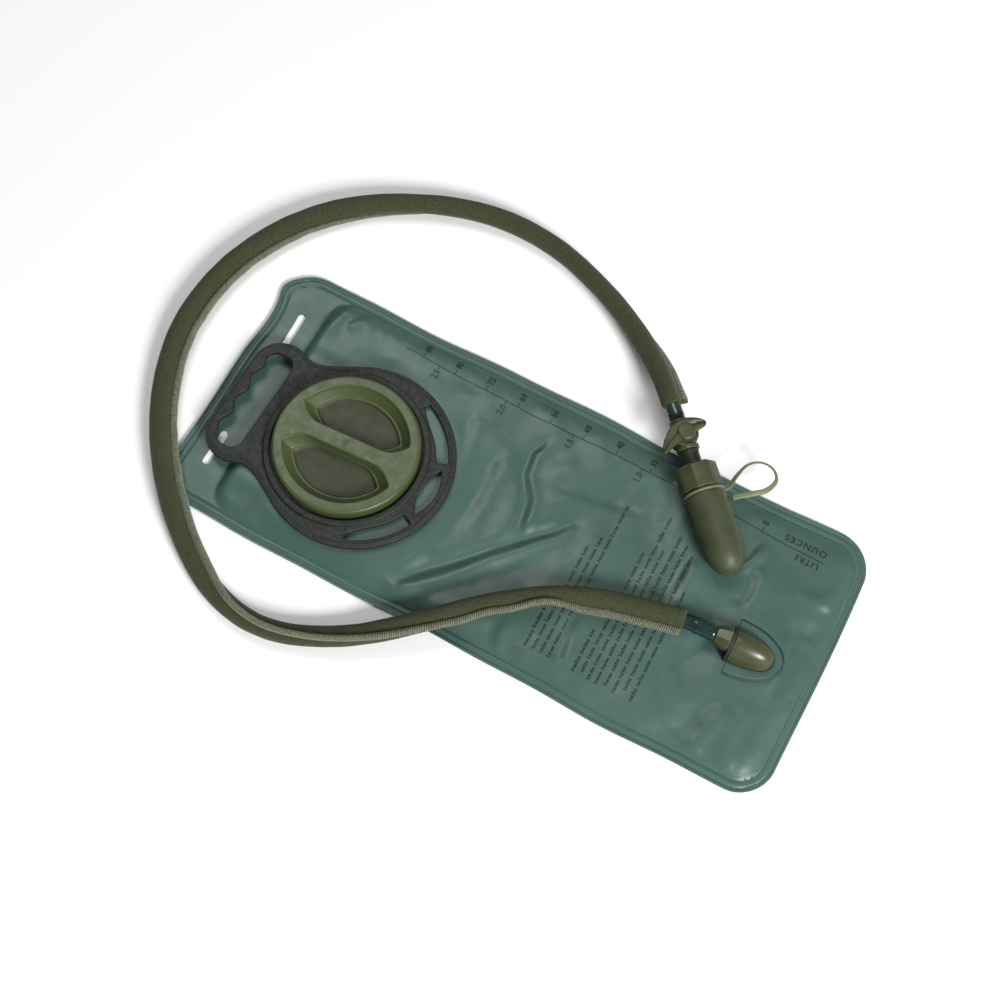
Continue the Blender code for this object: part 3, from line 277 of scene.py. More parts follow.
class Shader:
    """A Principled material with helpers for its procedural colour, roughness and bump."""

    def __init__(self, name, colour, roughness, coat=0.0, sheen=0.0, specular=0.5):
        self.mat = bpy.data.materials.new(name)
        self.mat.use_nodes = True
        self.nodes = self.mat.node_tree.nodes
        self.links = self.mat.node_tree.links
        self.base = self.nodes["Principled BSDF"]
        self.set("Base Color", (*colour, 1))
        self.set("Roughness", roughness)
        self.set("Coat Weight", coat)
        self.set("Coat Roughness", 0.25)
        self.set("Sheen Weight", sheen)
        self.set("Sheen Roughness", 0.5)
        self.set("Specular IOR Level", specular)
        coords = self.nodes.new("ShaderNodeTexCoord")
        self.place = coords.outputs["Object"]
        self.bumps = []

    def set(self, socket, value):
        self.base.inputs[socket].default_value = value

    def noise(self, scale, detail=3.0, roughness=0.55):
        tex = self.nodes.new("ShaderNodeTexNoise")
        tex.inputs["Scale"].default_value = scale
        tex.inputs["Detail"].default_value = detail
        tex.inputs["Roughness"].default_value = roughness
        self.links.new(self.place, tex.inputs["Vector"])
        return tex.outputs["Fac"]

    def voronoi(self, scale):
        tex = self.nodes.new("ShaderNodeTexVoronoi")
        tex.inputs["Scale"].default_value = scale
        self.links.new(self.place, tex.inputs["Vector"])
        return tex.outputs["Distance"]

    def ramp(self, source, stops):
        """Colour ramp with stops of (position, colour)."""
        node = self.nodes.new("ShaderNodeValToRGB")
        ramp = node.color_ramp
        for index, (position, colour) in enumerate(stops):
            element = ramp.elements[index] if index < 2 else ramp.elements.new(position)
            element.position = position
            element.color = (*colour, 1)
        self.links.new(source, node.inputs["Fac"])
        return node.outputs["Color"]

    def spread(self, source, low, high):
        """Map a texture's usual middle range to low..high."""
        node = self.nodes.new("ShaderNodeMapRange")
        node.inputs["From Min"].default_value = 0.3
        node.inputs["From Max"].default_value = 0.7
        node.inputs["To Min"].default_value = low
        node.inputs["To Max"].default_value = high
        self.links.new(source, node.inputs["Value"])
        return node.outputs["Result"]

    def colour(self, output):
        self.links.new(output, self.base.inputs["Base Color"])

    def vary(self, colour, scale, amount, detail=4.0):
        """Lighter and darker patches of one colour."""
        low = tuple(c * (1 - amount) for c in colour)
        high = tuple(c * (1 + amount) for c in colour)
        self.colour(self.ramp(self.noise(scale, detail), [(0.32, low), (0.68, high)]))

    def rough(self, scale, low, high):
        self.links.new(self.spread(self.noise(scale), low, high), self.base.inputs["Roughness"])

    def bump(self, height, depth, strength=1.0):
        """Add a bump of a real depth in metres."""
        node = self.nodes.new("ShaderNodeBump")
        node.inputs["Strength"].default_value = strength
        node.inputs["Distance"].default_value = depth
        self.links.new(height, node.inputs["Height"])
        if self.bumps:
            self.links.new(self.bumps[-1].outputs["Normal"], node.inputs["Normal"])
        self.bumps.append(node)
        self.links.new(node.outputs["Normal"], self.base.inputs["Normal"])


def film_shader():
    s = Shader("film_satin", (0.045, 0.095, 0.079), 0.38, coat=0.1, specular=0.35)
    s.colour(s.ramp(s.noise(14, 5), [(0.3, (0.039, 0.084, 0.070)), (0.7, (0.053, 0.108, 0.090))]))
    s.rough(60, 0.36, 0.5)
    s.bump(s.noise(420, 3), 0.00008, 0.5)
    s.bump(s.noise(110, 2), 0.0002, 0.35)
    return s.mat


def back_film_shader():
    s = Shader("film_back_satin", (0.042, 0.087, 0.073), 0.42, specular=0.35)
    s.vary((0.042, 0.087, 0.073), 16, 0.12)
    s.bump(s.noise(420, 3), 0.00008, 0.5)
    return s.mat


def collar_shader():
    s = Shader("collar_nylon", (0.016, 0.019, 0.016), 0.6, specular=0.35)
    s.vary((0.016, 0.019, 0.016), 500, 0.4, 5)
    s.rough(300, 0.5, 0.72)
    s.bump(s.noise(1500, 3), 0.0001, 0.6)
    return s.mat


def moulded(name, colour, low, high, coat=0.0, variation=0.08):
    """Moulded plastic with a fine spark-eroded grain and slightly uneven gloss."""
    s = Shader(name, colour, (low + high) / 2, coat=coat, specular=0.4)
    s.vary(colour, 90, variation, 6)
    s.rough(160, low, high)
    s.bump(s.noise(1200, 3), 0.00006, 0.55)
    return s.mat


def rubber_shader():
    s = Shader("rubber_black", (0.012, 0.013, 0.013), 0.6)
    s.vary((0.012, 0.013, 0.013), 400, 0.25)
    s.bump(s.noise(900, 2), 0.00005, 0.5)
    return s.mat


def tube_shader():
    s = Shader("tube_dark_teal", (0.006, 0.022, 0.020), 0.2, coat=0.2)
    s.vary((0.007, 0.023, 0.021), 120, 0.4)
    s.set("Coat Roughness", 0.08)
    s.bump(s.noise(200, 2), 0.0001, 0.3)
    return s.mat


def cloth_shader(name, colour):
    """Knit cloth: mottled yarn, small loops and a soft sheen."""
    s = Shader(name, colour, 0.95, sheen=0.12, specular=0.2)
    dark = tuple(c * 0.7 for c in colour)
    light = tuple(c * 1.32 for c in colour)
    s.colour(s.ramp(s.noise(700, 5, 0.75), [(0.36, dark), (0.66, light)]))
    s.bump(s.voronoi(1400), 0.0004, 0.8)
    s.bump(s.noise(70, 3), 0.0008, 0.4)
    return s.mat


def thread_shader():
    colour = (0.155, 0.17, 0.11)
    s = Shader("thread_light", colour, 0.85, sheen=0.3, specular=0.3)
    s.vary(colour, 600, 0.4, 5)
    s.bump(s.noise(3000, 2), 0.0001, 0.6)
    return s.mat


def print_shader():
    s = Shader("print_ink", (0.008, 0.016, 0.014), 0.5)
    s.vary((0.009, 0.018, 0.016), 700, 0.5)
    return s.mat


def silicone_shader():
    s = Shader("silicone_clear", (0.42, 0.46, 0.43), 0.3)
    s.vary((0.42, 0.46, 0.43), 120, 0.06)
    s.set("Transmission Weight", 0.25)
    s.bump(s.noise(300, 2), 0.00005, 0.4)
    return s.mat


OLIVE_CAP = (0.057, 0.073, 0.026)
OLIVE_VALVE = (0.044, 0.054, 0.020)
OLIVE_DARK = (0.022, 0.024, 0.011)
OLIVE_COVER = (0.041, 0.049, 0.022)
OLIVE_STRAP = (0.125, 0.150, 0.075)
OLIVE_PORT = (0.048, 0.054, 0.022)
OLIVE_CLOTH = (0.041, 0.047, 0.020)
# Finger-well floors: a darker olive, partly their own darker tone and partly painted shade of the deep wells.
OLIVE_WELL_FLOOR_AND_SHADE = (0.030, 0.035, 0.015)
OLIVE_SEAM = (0.072, 0.078, 0.040)


# ---------------------------------------------------------------- camera, floor and light

CAMERA_TURN = (22.18, 69.28, 6.12)  # azimuth, elevation and roll in degrees
CAMERA_AIM, CAMERA_DISTANCE, CAMERA_LENS = (-13.92 * MM, 7.57 * MM, 0), 0.85009, 50.8


def build_camera():
    """Lens above the bag, turned so that the bag lies across the frame."""
    azimuth, elevation, roll = (math.radians(a) for a in CAMERA_TURN)
    back = Vector((math.sin(azimuth) * math.cos(elevation), -math.cos(azimuth) * math.cos(elevation),
                   math.sin(elevation)))
    level = Vector((math.cos(azimuth), math.sin(azimuth), 0))
    up = back.cross(level)
    right = level * math.cos(roll) + up * math.sin(roll)
    top = up * math.cos(roll) - level * math.sin(roll)
    camera = bpy.data.objects.new("camera", bpy.data.cameras.new("camera"))
    camera.data.lens = CAMERA_LENS
    camera.data.sensor_width = 36
    camera.data.clip_start = 0.01
    turn = Matrix((right, top, back)).transposed().to_4x4()
    place = Vector(CAMERA_AIM) + back * CAMERA_DISTANCE
    camera.matrix_world = Matrix.Translation(place) @ turn
    bpy.context.scene.collection.objects.link(camera)
    bpy.context.scene.camera = camera


def build_floor():
    bm = bmesh.new()
    bmesh.ops.create_grid(bm, x_segments=1, y_segments=1, size=3)
    mesh = bpy.data.meshes.new("floor")
    bm.to_mesh(mesh)
    bm.free()
    floor = bpy.data.objects.new("floor", mesh)
    floor.location.z = -0.1 * MM
    bpy.context.scene.collection.objects.link(floor)
    s = Shader("floor_pale", (0.9, 0.9, 0.9), 0.9, specular=0.1)
    mesh.materials.append(s.mat)


def area_light(name, place, size, power):
    """A square soft light that points at the object's middle."""
    light = bpy.data.lights.new(name, "AREA")
    light.shape = "RECTANGLE"
    light.size, light.size_y = size, size
    light.energy = power
    obj = bpy.data.objects.new(name, light)
    obj.location = place
    obj.rotation_euler = (-Vector(place)).to_track_quat("-Z", "Y").to_euler()
    bpy.context.scene.collection.objects.link(obj)


def build_light():
    bpy.context.scene.view_settings.view_transform = "Standard"
    world = bpy.data.worlds.new("studio")
    bpy.context.scene.world = world
    world.use_nodes = True
    background = world.node_tree.nodes["Background"]
    background.inputs["Color"].default_value = (1, 1, 1, 1)
    background.inputs["Strength"].default_value = 0.25
    area_light("key", (1.15, -0.70, 0.98), 0.5, 38)
    area_light("top", (-0.7, 0.7, 1.7), 0.9, 14)


# ---------------------------------------------------------------- hose

def hose_path():
    turn = Matrix.Rotation(OUTLET_TURN, 3, "Z")
    start = [OUTLET_AXIS + turn @ Vector((CONNECTOR_END - d * MM, 0, 0)) for d in (0, 10, 20)]
    free = [Vector(p) * MM for p in HOSE_ROUTE_MM]
    turn = Matrix.Rotation(BITE_TURN, 3, "Z")
    end = [BITE_AXIS + turn @ Vector((d * MM, 0, 0)) for d in (-9, 0, 10)]
    return smooth_path(start + free + end)


def build_tube(path, mat):
    """The drinking tube, with the barbs inside its ends pushing it out a little."""
    count = 560
    length = path_length(path)
    points, along = evenly(path, 0, 0, count)
    _, level, up = frames_along(points)
    radius = np.full(count, TUBE_R)
    for barb in (3.6, 7.4, 11.2):
        for place in (barb * MM, length - barb * MM * 0.8):
            radius += 0.55 * MM * np.exp(-((along - place) / (0.9 * MM)) ** 2)
    sides = 24
    turns = np.linspace(0, 2 * np.pi, sides, endpoint=False)
    ring = np.cos(turns)[None, :, None] * level[:, None] + np.sin(turns)[None, :, None] * up[:, None]
    rings = points[:, None] + radius[:, None, None] * ring
    tube = mesh_object("drinking_tube_skin", tube_mesh("drinking_tube_skin", rings), mat)
    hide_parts("drinking_tube")
    return tube, points


# Where the seam stands round the hose, by share of the sleeve's length: 0 is the inner side of the
# loop, 90 is up, 180 the outer side and -90 is under the hose. In degrees.
SEAM_TURN = [
    (0.0, 172), (0.055, 170), (0.072, 164), (0.086, 122), (0.105, 128), (0.118, 148), (0.13, 132),
    (0.145, 150), (0.16, 140), (0.20, 125), (0.25, 105), (0.29, 90), (0.315, 72), (0.335, 45), (0.36, 40),
    (0.375, 25), (0.41, 12), (0.47, 3), (0.54, -3), (0.62, -12), (0.68, -22), (0.72, -50), (0.75, -85),
    (0.80, -100), (0.88, -118), (0.93, -142), (0.965, -165), (1.0, -175),
]
SLEEVE_R, CAD_SLEEVE_R = 6.3 * MM, 7.5 * MM


def seam_angles(share):
    """Direction of the seam round the hose, in radians, from the inner side of its loop."""
    stops = np.array(SEAM_TURN, float)
    angle = np.interp(share, stops[:, 0], stops[:, 1])
    kernel = np.ones(13) / 13
    padded = np.pad(angle, 6, mode="edge")
    return np.radians(np.convolve(padded, kernel, "valid"))


def build_sleeve(path, cloth, seam_cloth, thread):
    """A knit sleeve with an overlocked seam that winds slowly round it."""
    count = 620
    length = path_length(path)
    points, _ = evenly(path, BARE_AT_OUTLET, length - BARE_AT_VALVE, count)
    _, level, up = frames_along(points)
    share = np.linspace(0, 1, count)
    angle = seam_angles(share)
    settle = smoothstep(share * length / (45 * MM)) * smoothstep((1 - share) * length / (60 * MM))
    points[:, 2] -= (CAD_SLEEVE_R - SLEEVE_R) * settle
    lumps = np.array([noise.noise((s * 90, 9.7, 0)) for s in share])
    toward = -np.cos(angle)[:, None] * level + np.sin(angle)[:, None] * up
    side = np.sin(angle)[:, None] * level + np.cos(angle)[:, None] * up
    sides = 40
    turns = np.linspace(0, 2 * np.pi, sides, endpoint=False)
    fit = 1 + 0.03 * lumps[:, None] + 0.02 * np.sin(2 * turns[None] + 30 * share[:, None])
    rings = points[:, None] + SLEEVE_R * fit[..., None] * (
        np.cos(turns)[None, :, None] * toward[:, None] + np.sin(turns)[None, :, None] * side[:, None])
    hem = np.concatenate([[0.86, 0.97], np.ones(count - 4), [0.97, 0.86]])
    rings = points[:, None] + (rings - points[:, None]) * hem[:, None, None]
    rings[:, :, 2] = np.maximum(rings[:, :, 2], 0.15 * MM)
    body = mesh_object("sleeve_cloth", tube_mesh("sleeve_cloth", rings), cloth)
    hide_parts("tube_sleeve")
    wander = np.array([noise.noise((s * 40, 3.1, 0)) for s in share])
    root = points + toward * (SLEEVE_R - 0.5 * MM) + side * (0.5 * MM * wander)[:, None]
    tucked = 1 - 0.62 * smoothstep(-1.2 * np.sin(angle))
    reach = tucked * (1 + 0.10 * lumps)
    fin = build_seam_fin(root, toward, side, reach, seam_cloth)
    stitches = build_stitches(root, toward, side, reach, thread)
    return body, fin, stitches


def build_seam_fin(points, toward, side, reach, cloth):
    """The folded edge of the cloth that stands out along the seam, behind a narrow groove."""
    half = [(0, 0.7), (0.6, 0.6), (1.1, 1.15), (3.6, 1.3), (4.3, 0.8)]
    section = [(out, -over) for out, over in half] + [(4.5, 0)] + half[::-1]
    out = np.array([p[0] for p in section]) * MM
    over = np.array([p[1] for p in section]) * MM
    rings = (points[:, None] + (out[None] * reach[:, None])[..., None] * toward[:, None]
             + over[None, :, None] * side[:, None])
    rings[:, :, 2] = np.maximum(rings[:, :, 2], 0.2 * MM)
    return mesh_object("sleeve_seam", tube_mesh("sleeve_seam", rings), cloth)


STITCH_PITCH, STITCH_R = 1.3 * MM, 0.44 * MM


def build_stitches(points, toward, side, reach, thread):
    """Overlock stitches: a thread that wraps the seam's edge again and again."""
    count = len(points)
    spacing = np.linalg.norm(np.diff(points, axis=0), axis=1).sum() / (count - 1)
    half = [(0.9, 1.25), (2.1, 1.5), (3.5, 1.45), (4.5, 0.75)]
    wrap = np.array([(out, -over) for out, over in half] + half[::-1])
    steps = len(wrap)
    lean = np.linspace(-0.42, 0.42, steps) * STITCH_PITCH / spacing
    lean[steps // 2:] = lean[steps // 2:][::-1]
    starts = np.arange(1.5, count - 2.5, STITCH_PITCH / spacing)
    at = starts[:, None] + lean[None]
    low = np.clip(at.astype(int), 0, count - 2)
    t = (at - low)[..., None]
    place, out, over = (row[low] * (1 - t) + row[low + 1] * t for row in (points, toward, side))
    stretch = np.interp(at, np.arange(count), reach)[..., None]
    centres = place + out * wrap[None, :, :1] * MM * stretch + over * wrap[None, :, 1:] * MM
    centres[..., 2] = np.maximum(centres[..., 2], STITCH_R)
    ahead = np.gradient(centres, axis=1)
    ahead /= np.linalg.norm(ahead, axis=2)[..., None]
    along = (points[low[:, 0] + 1] - points[low[:, 0]])[:, None]
    first = np.cross(ahead, along)
    first /= np.linalg.norm(first, axis=2)[..., None]
    second = np.cross(ahead, first)
    sides = 5
    turns = np.linspace(0, 2 * np.pi, sides, endpoint=False)[:, None]
    ring = np.cos(turns) * first[:, :, None] + np.sin(turns) * second[:, :, None]
    verts = centres[:, :, None] + STITCH_R * ring
    faces = []
    for base in range(0, len(starts) * steps * sides, steps * sides):
        for k in range(base, base + (steps - 1) * sides, sides):
            for j in range(sides):
                n = (j + 1) % sides
                faces.append((k + j, k + n, k + n + sides, k + j + sides))
        last = base + (steps - 1) * sides
        faces.append(tuple(range(base, base + sides))[::-1])
        faces.append(tuple(range(last, last + sides)))
    mesh = bpy.data.meshes.new("seam_stitches")
    mesh.from_pydata(verts.reshape(-1, 3).tolist(), [], faces)
    return mesh_object("seam_stitches", mesh, thread)


# ---------------------------------------------------------------- films

CORNER_R = 22 * MM
HEADER_X = 34 * MM - HALF_LENGTH  # the weld across the filler end
BORDER = 7 * MM
SLOPE = 14 * MM
SLOT_X = 19 * MM - HALF_LENGTH
SLOT_PITCH, SLOT_LENGTH, SLOT_WIDTH = 91 * MM, 25 * MM, 5.5 * MM
DOME_HALF, DOME_LENGTH = 10.2 * MM, 25.5 * MM
FLANGE_HALF, FLANGE_LENGTH = 17.2 * MM, 31 * MM

# Folds of the film: heights and widths in mm at both ends, and the line they follow.
# A step is high on the right of its line, so that its slope faces left.
STEPS_MM = [
    (2.8, 1.5, 6.0, 2.6,
     [(-56, -84), (-35, -62), (-15, -41), (0, -24), (14, -9), (26, 3), (33, 13), (41, 13)]),
    (1.0, 1.2, 3.0, 2.6, [(8, -12), (3, 15), (-7, 28), (-9, 43), (-2, 60)]),
    (0.8, 0.8, 5.0, 5.0, [(6, 24), (24, 29), (42, 33), (70, 37)]),
    (1.0, 0.8, 4.0, 3.0, [(-168, 44), (-162, 63), (-157, 76)]),
    (0.8, 0.6, 3.0, 3.0, [(-153, 62), (-146, 72), (-140, 77)]),
    (0.9, 0.9, 4.0, 4.0, [(-44, 13), (-50, 31), (-53, 50)]),
    (0.8, 0.8, 4.0, 4.0, [(-54, -72), (-46, -58), (-41, -38)]),
    (0.9, 0.9, 3.5, 3.5, [(64, -68), (61, -47), (60, -32)]),
    (1.0, 1.0, 3.5, 3.5, [(28, -82), (23, -70), (21, -52)]),
    (0.9, 0.9, 4.5, 4.5, [(166, 39), (182, 44), (196, 64)]),
    (1.8, 1.2, 4.0, 4.0, [(142, 8), (144, 22), (143, 33), (136, 40)]),
    (1.3, 1.2, 5.0, 4.0, [(101, -6), (103, 10), (104, 30)]),
    (1.3, 1.2, 4.0, 4.0, [(188, 12), (192, 26), (190, 40)]),
    (0.9, 0.9, 5.0, 5.0, [(-26, -30), (-24, 0), (-25, 26), (-19, 40)]),
    (1.3, 1.1, 6.0, 6.0, [(146, -76), (150, -58), (156, -40)]),
]
RIDGES_MM = [
    (3.0, 2.2, 3.4, 3.0, [(125, 12), (128, 22), (133, 36), (137, 45), (141, 60)]),
    (1.5, 1.5, 4.5, 4.5, [(112, -8), (110, 12), (107, 32)]),
    (0.9, 0.9, 7.0, 7.0, [(-34, -48), (-14, -30), (4, -12)]),
    (-0.9, -0.9, 7.0, 7.0, [(196, -58), (190, -70), (176, -80)]),
    (1.0, 1.0, 5.0, 5.0, [(178, -84), (168, -60), (172, -30)]),
    (-0.8, -0.8, 5.0, 5.0, [(168, 16), (179, 18), (187, 23)]),
    (-0.7, -0.7, 6.0, 6.0, [(86, -34), (90, -55), (98, -76)]),
    (0.8, 0.8, 5.0, 5.0, [(44, -40), (46, -58), (42, -80)]),
]
# Lines along which the hose and the bite end rest on the film and hold it level.
SUPPORT_MM = [
    [(116, -11.8)] + [(x, y) for x, y, _ in HOSE_ROUTE_MM[:6]] + [(-30, -95)],
    [(84, 71), (101, 54), (128, 25)],
]


def line_distance(x, y, points):
    """Distance of each place to a line through points, which side of it, and how far along."""
    best = np.full(x.shape, 1e9)
    side = np.zeros(x.shape)
    share = np.zeros(x.shape)
    spans = [math.dist(a, b) for a, b in zip(points, points[1:])]
    total, done = sum(spans), 0.0
    for (ax, ay), (bx, by), span in zip(points, points[1:], spans):
        dx, dy = (bx - ax) / span, (by - ay) / span
        t = np.clip((x - ax) * dx + (y - ay) * dy, 0, span)
        distance = np.hypot(x - ax - dx * t, y - ay - dy * t)
        nearer = distance < best
        best = np.where(nearer, distance, best)
        side = np.where(nearer, np.sign((x - ax) * dy - (y - ay) * dx), side)
        share = np.where(nearer, (done + t) / total, share)
        done += span
    return best, side, share


def rect_inside(x, y, x0, x1, y0, y1, radius):
    """Distance inwards from a rounded rectangle's edge; negative outside."""
    px = np.abs(x - (x0 + x1) / 2) - (x1 - x0) / 2 + radius
    py = np.abs(y - (y0 + y1) / 2) - (y1 - y0) / 2 + radius
    outside = np.hypot(np.maximum(px, 0), np.maximum(py, 0))
    return radius - outside - np.minimum(np.maximum(px, py), 0)


def outlet_local(x, y):
    c, s = math.cos(-OUTLET_TURN), math.sin(-OUTLET_TURN)
    dx, dy = x - OUTLET_AXIS.x, y - OUTLET_AXIS.y
    return dx * c - dy * s, dx * s + dy * c


def from_outlet(places):
    """Move places from the outlet's own frame into the object's frame."""
    c, s = math.cos(OUTLET_TURN), math.sin(OUTLET_TURN)
    return [(OUTLET_AXIS.x + u * c - v * s, OUTLET_AXIS.y + u * s + v * c) for u, v in places]


def flange_outline(grow=0.0):
    """Outline of the port's flange on the flat bag."""
    local = []
    for i in range(81):
        t = math.pi * (i / 80 - 0.5)
        local.append(((FLANGE_LENGTH + grow) * math.cos(t) ** (2 / 2.2), (FLANGE_HALF + grow) * math.sin(t)))
    return from_outlet(local)


def flange_inside(x, y):
    """Distance inwards from the outline of the port's flange, which is blunt on the hose side."""
    u, v = outlet_local(x, y)
    nose = 1 - (np.clip(u, 0, None) / FLANGE_LENGTH) ** 2.2
    half = FLANGE_HALF * np.sqrt(np.clip(nose, 0, 1))
    return np.minimum(np.where(u > FLANGE_LENGTH, -1, half - np.abs(v)), u + 0.5 * MM)


def noise_at(x, y, scale, seed):
    return np.array([noise.noise((a * scale, b * scale, seed)) for a, b in zip(x, y)])


def film_height(x, y):
    """Top of the front film, at places on the flat bag."""
    x, y = np.asarray(x, float), np.asarray(y, float)
    edge = rect_inside(x, y, -HALF_LENGTH, HALF_LENGTH, -HALF_WIDTH, HALF_WIDTH, CORNER_R)
    inner_half = HALF_WIDTH - BORDER
    inner = rect_inside(x, y, HEADER_X, HALF_LENGTH - BORDER, -inner_half, inner_half, 15 * MM)
    run = np.where(x < HEADER_X + SLOPE, 1 - 0.55 * smoothstep((HEADER_X + 2 * SLOPE - x) / (2 * SLOPE)), 1.0)
    rise = 1 - (1 - np.clip(inner / (SLOPE * run), 0, 1)) ** 2.1
    xm, ym = x / MM, y / MM
    collar, _, _ = line_distance(xm, ym, [(-100.3, -11.3), (-100.2, -11.3)])
    handle, _, _ = line_distance(xm, ym, [(-176, -11), (-130, -11)])
    near = np.minimum(np.maximum(collar - 58, 0), np.maximum(handle - 43, 0))
    for points in SUPPORT_MM:
        distance, _, _ = line_distance(xm, ym, points)
        near = np.minimum(near, np.maximum(distance - 3, 0))
    flange = flange_inside(x, y) / MM
    near = np.minimum(near, np.maximum(-flange - 1, 0))
    slack = 1 - np.exp(-(near / 11) ** 2)
    top = FILM_TOP - slack * 2.0 * MM
    swell = noise_at(xm, ym, 0.03, 4.2) * 2.0 + noise_at(xm, ym, 0.065, 1.7) * 0.9
    swell += noise_at(xm, ym, 0.15, 7.3) * 0.25
    folds = np.minimum(swell, 1.0) * slack
    for first, last, wide, narrow, points in STEPS_MM:
        distance, side, share = line_distance(xm, ym, points)
        ends = smoothstep(share * 6) * smoothstep((1 - share) * 5)
        u = distance * side / (wide + (narrow - wide) * share)
        folds += (first + (last - first) * share) * ends * u * np.exp(0.5 - u * u / 2) * slack
    for first, last, wide, narrow, points in RIDGES_MM:
        distance, _, share = line_distance(xm, ym, points)
        ends = smoothstep(share * 4) * smoothstep((1 - share) * 4)
        u = distance / (wide + (narrow - wide) * share)
        folds += (first + (last - first) * share) * ends * np.exp(-u * u) * slack
    z = WELD_TOP + rise * (top - WELD_TOP) + rise * folds * MM
    pucker = noise_at(xm, ym, 0.11, 11.0) * 0.5 + noise_at(xm, ym, 0.3, 5.0) * 0.2
    z += pucker * MM * smoothstep(inner / (4 * MM)) * np.clip(1 - inner / (20 * MM), 0, 1)
    z += weld_lines(edge / MM, inner / MM, xm)
    ring = np.abs(flange)
    z += np.where(flange > 0, 0.35, 0.0) * MM * (np.hypot(*outlet_local(x, y)) < 60 * MM)
    z -= 0.55 * MM * np.exp(-(ring / 0.7) ** 2)
    return z


def weld_lines(edge, inner, xm):
    """Pressed lines of the double edge weld and of the weld across the header, in metres."""
    lip = 0.45 * smoothstep((1.7 - edge) / 0.8)
    groove = -0.42 * np.exp(-((edge - 2.3) / 0.5) ** 2)
    bead = 0.25 * np.exp(-((edge - 4.3) / 1.1) ** 2)
    second = -0.42 * np.exp(-((edge - 6.3) / 0.55) ** 2)
    lift = 0.30 * np.exp(-((edge - 7.3) / 0.5) ** 2)
    header = 0.35 * np.exp(-(inner / 0.6) ** 2) - 0.35 * np.exp(-((inner + 1.6) / 0.5) ** 2)
    header = header * (edge > 8) * (xm < -140)
    return (lip + groove + bead + second + lift + header) * MM


def film_warp(x, y):
    """Slight waviness of the bag's edges, which dies out towards its middle."""
    xm, ym = x / MM, y / MM
    ends = smoothstep((np.abs(xm) - 165) / 35)
    sides = smoothstep((np.abs(ym) - 55) / 30)
    header = 2.9 * np.exp(-((ym - 70) / 9) ** 2) - 2.2 * np.exp(-((ym - 43) / 17) ** 2)
    wave_x = np.where(xm < 0, header + 0.5 * np.sin(ym / 19), 1.2 * np.sin((ym + 30) / 38))
    wave_y = 0.8 * np.sin(xm / 31 + 1.7 * np.sign(ym)) + 0.4 * np.sin(xm / 12.5)
    return x + wave_x * ends * np.sign(xm) * MM, y + wave_y * sides * np.sign(ym) * MM


def rounded_rect(inset, step=2.0 * MM):
    """Points along the bag's outline, moved in by inset."""
    hx, hy = HALF_LENGTH - inset, HALF_WIDTH - inset
    radius = max(CORNER_R - inset, 0.5 * MM)
    steps = max(4, int(math.pi / 2 * radius / step))
    corners = [(hx - radius, radius - hy, -90), (hx - radius, hy - radius, 0),
               (radius - hx, hy - radius, 90), (radius - hx, radius - hy, 180)]
    points = []
    for cx, cy, start in corners:
        part = arc(cx, cy, radius, start, start + 90, steps)
        if points:
            points += between(points[-1], part[0], step)
        points += part
    return points + between(points[-1], points[0], step)


def between(a, b, step):
    count = int(math.dist(a, b) / step)
    return [(a[0] + (b[0] - a[0]) * i / count, a[1] + (b[1] - a[1]) * i / count) for i in range(1, count)]


def slot_outline(y):
    half = SLOT_LENGTH / 2 - SLOT_WIDTH / 2
    radius = SLOT_WIDTH / 2
    ends = arc(SLOT_X, y + half, radius, 0, 180, 8), arc(SLOT_X, y - half, radius, 180, 360, 8)
    return (ends[0] + between(ends[0][-1], ends[1][0], 2 * MM) + ends[1]
            + between(ends[1][-1], ends[0][0], 2 * MM))


def dome_outline():
    """The front film's opening, close round the port's dome."""
    steps = 20
    air = 0.35 * MM
    length, half = DOME_LENGTH + air, DOME_HALF + air
    nose = []
    for i in range(steps + 1):
        t = math.pi / 2 * i / steps
        nose.append((length * math.sin(t) ** (2 / 2.6), half * math.cos(t) ** (2 / 2.6)))
    outline = [(-2.6 * MM, half)] + nose
    outline += [(u, -v) for u, v in reversed(outline[:-1])]
    return from_outlet(outline)[::-1]


def inside_outline(x, y, outline):
    """Whether each place is inside a closed outline."""
    inside = np.zeros(x.shape, bool)
    for (ax, ay), (bx, by) in zip(outline, outline[1:] + outline[:1]):
        if ay == by:
            continue
        crosses = (ay > y) != (by > y)
        inside ^= crosses & (x < (bx - ax) * (y - ay) / (by - ay) + ax)
    return inside


def far_from(x, y, outline, distance):
    table = np.array(outline)
    keep = np.ones(x.shape, bool)
    for ax, ay in table:
        keep &= (x - ax) ** 2 + (y - ay) ** 2 > distance ** 2
    return keep


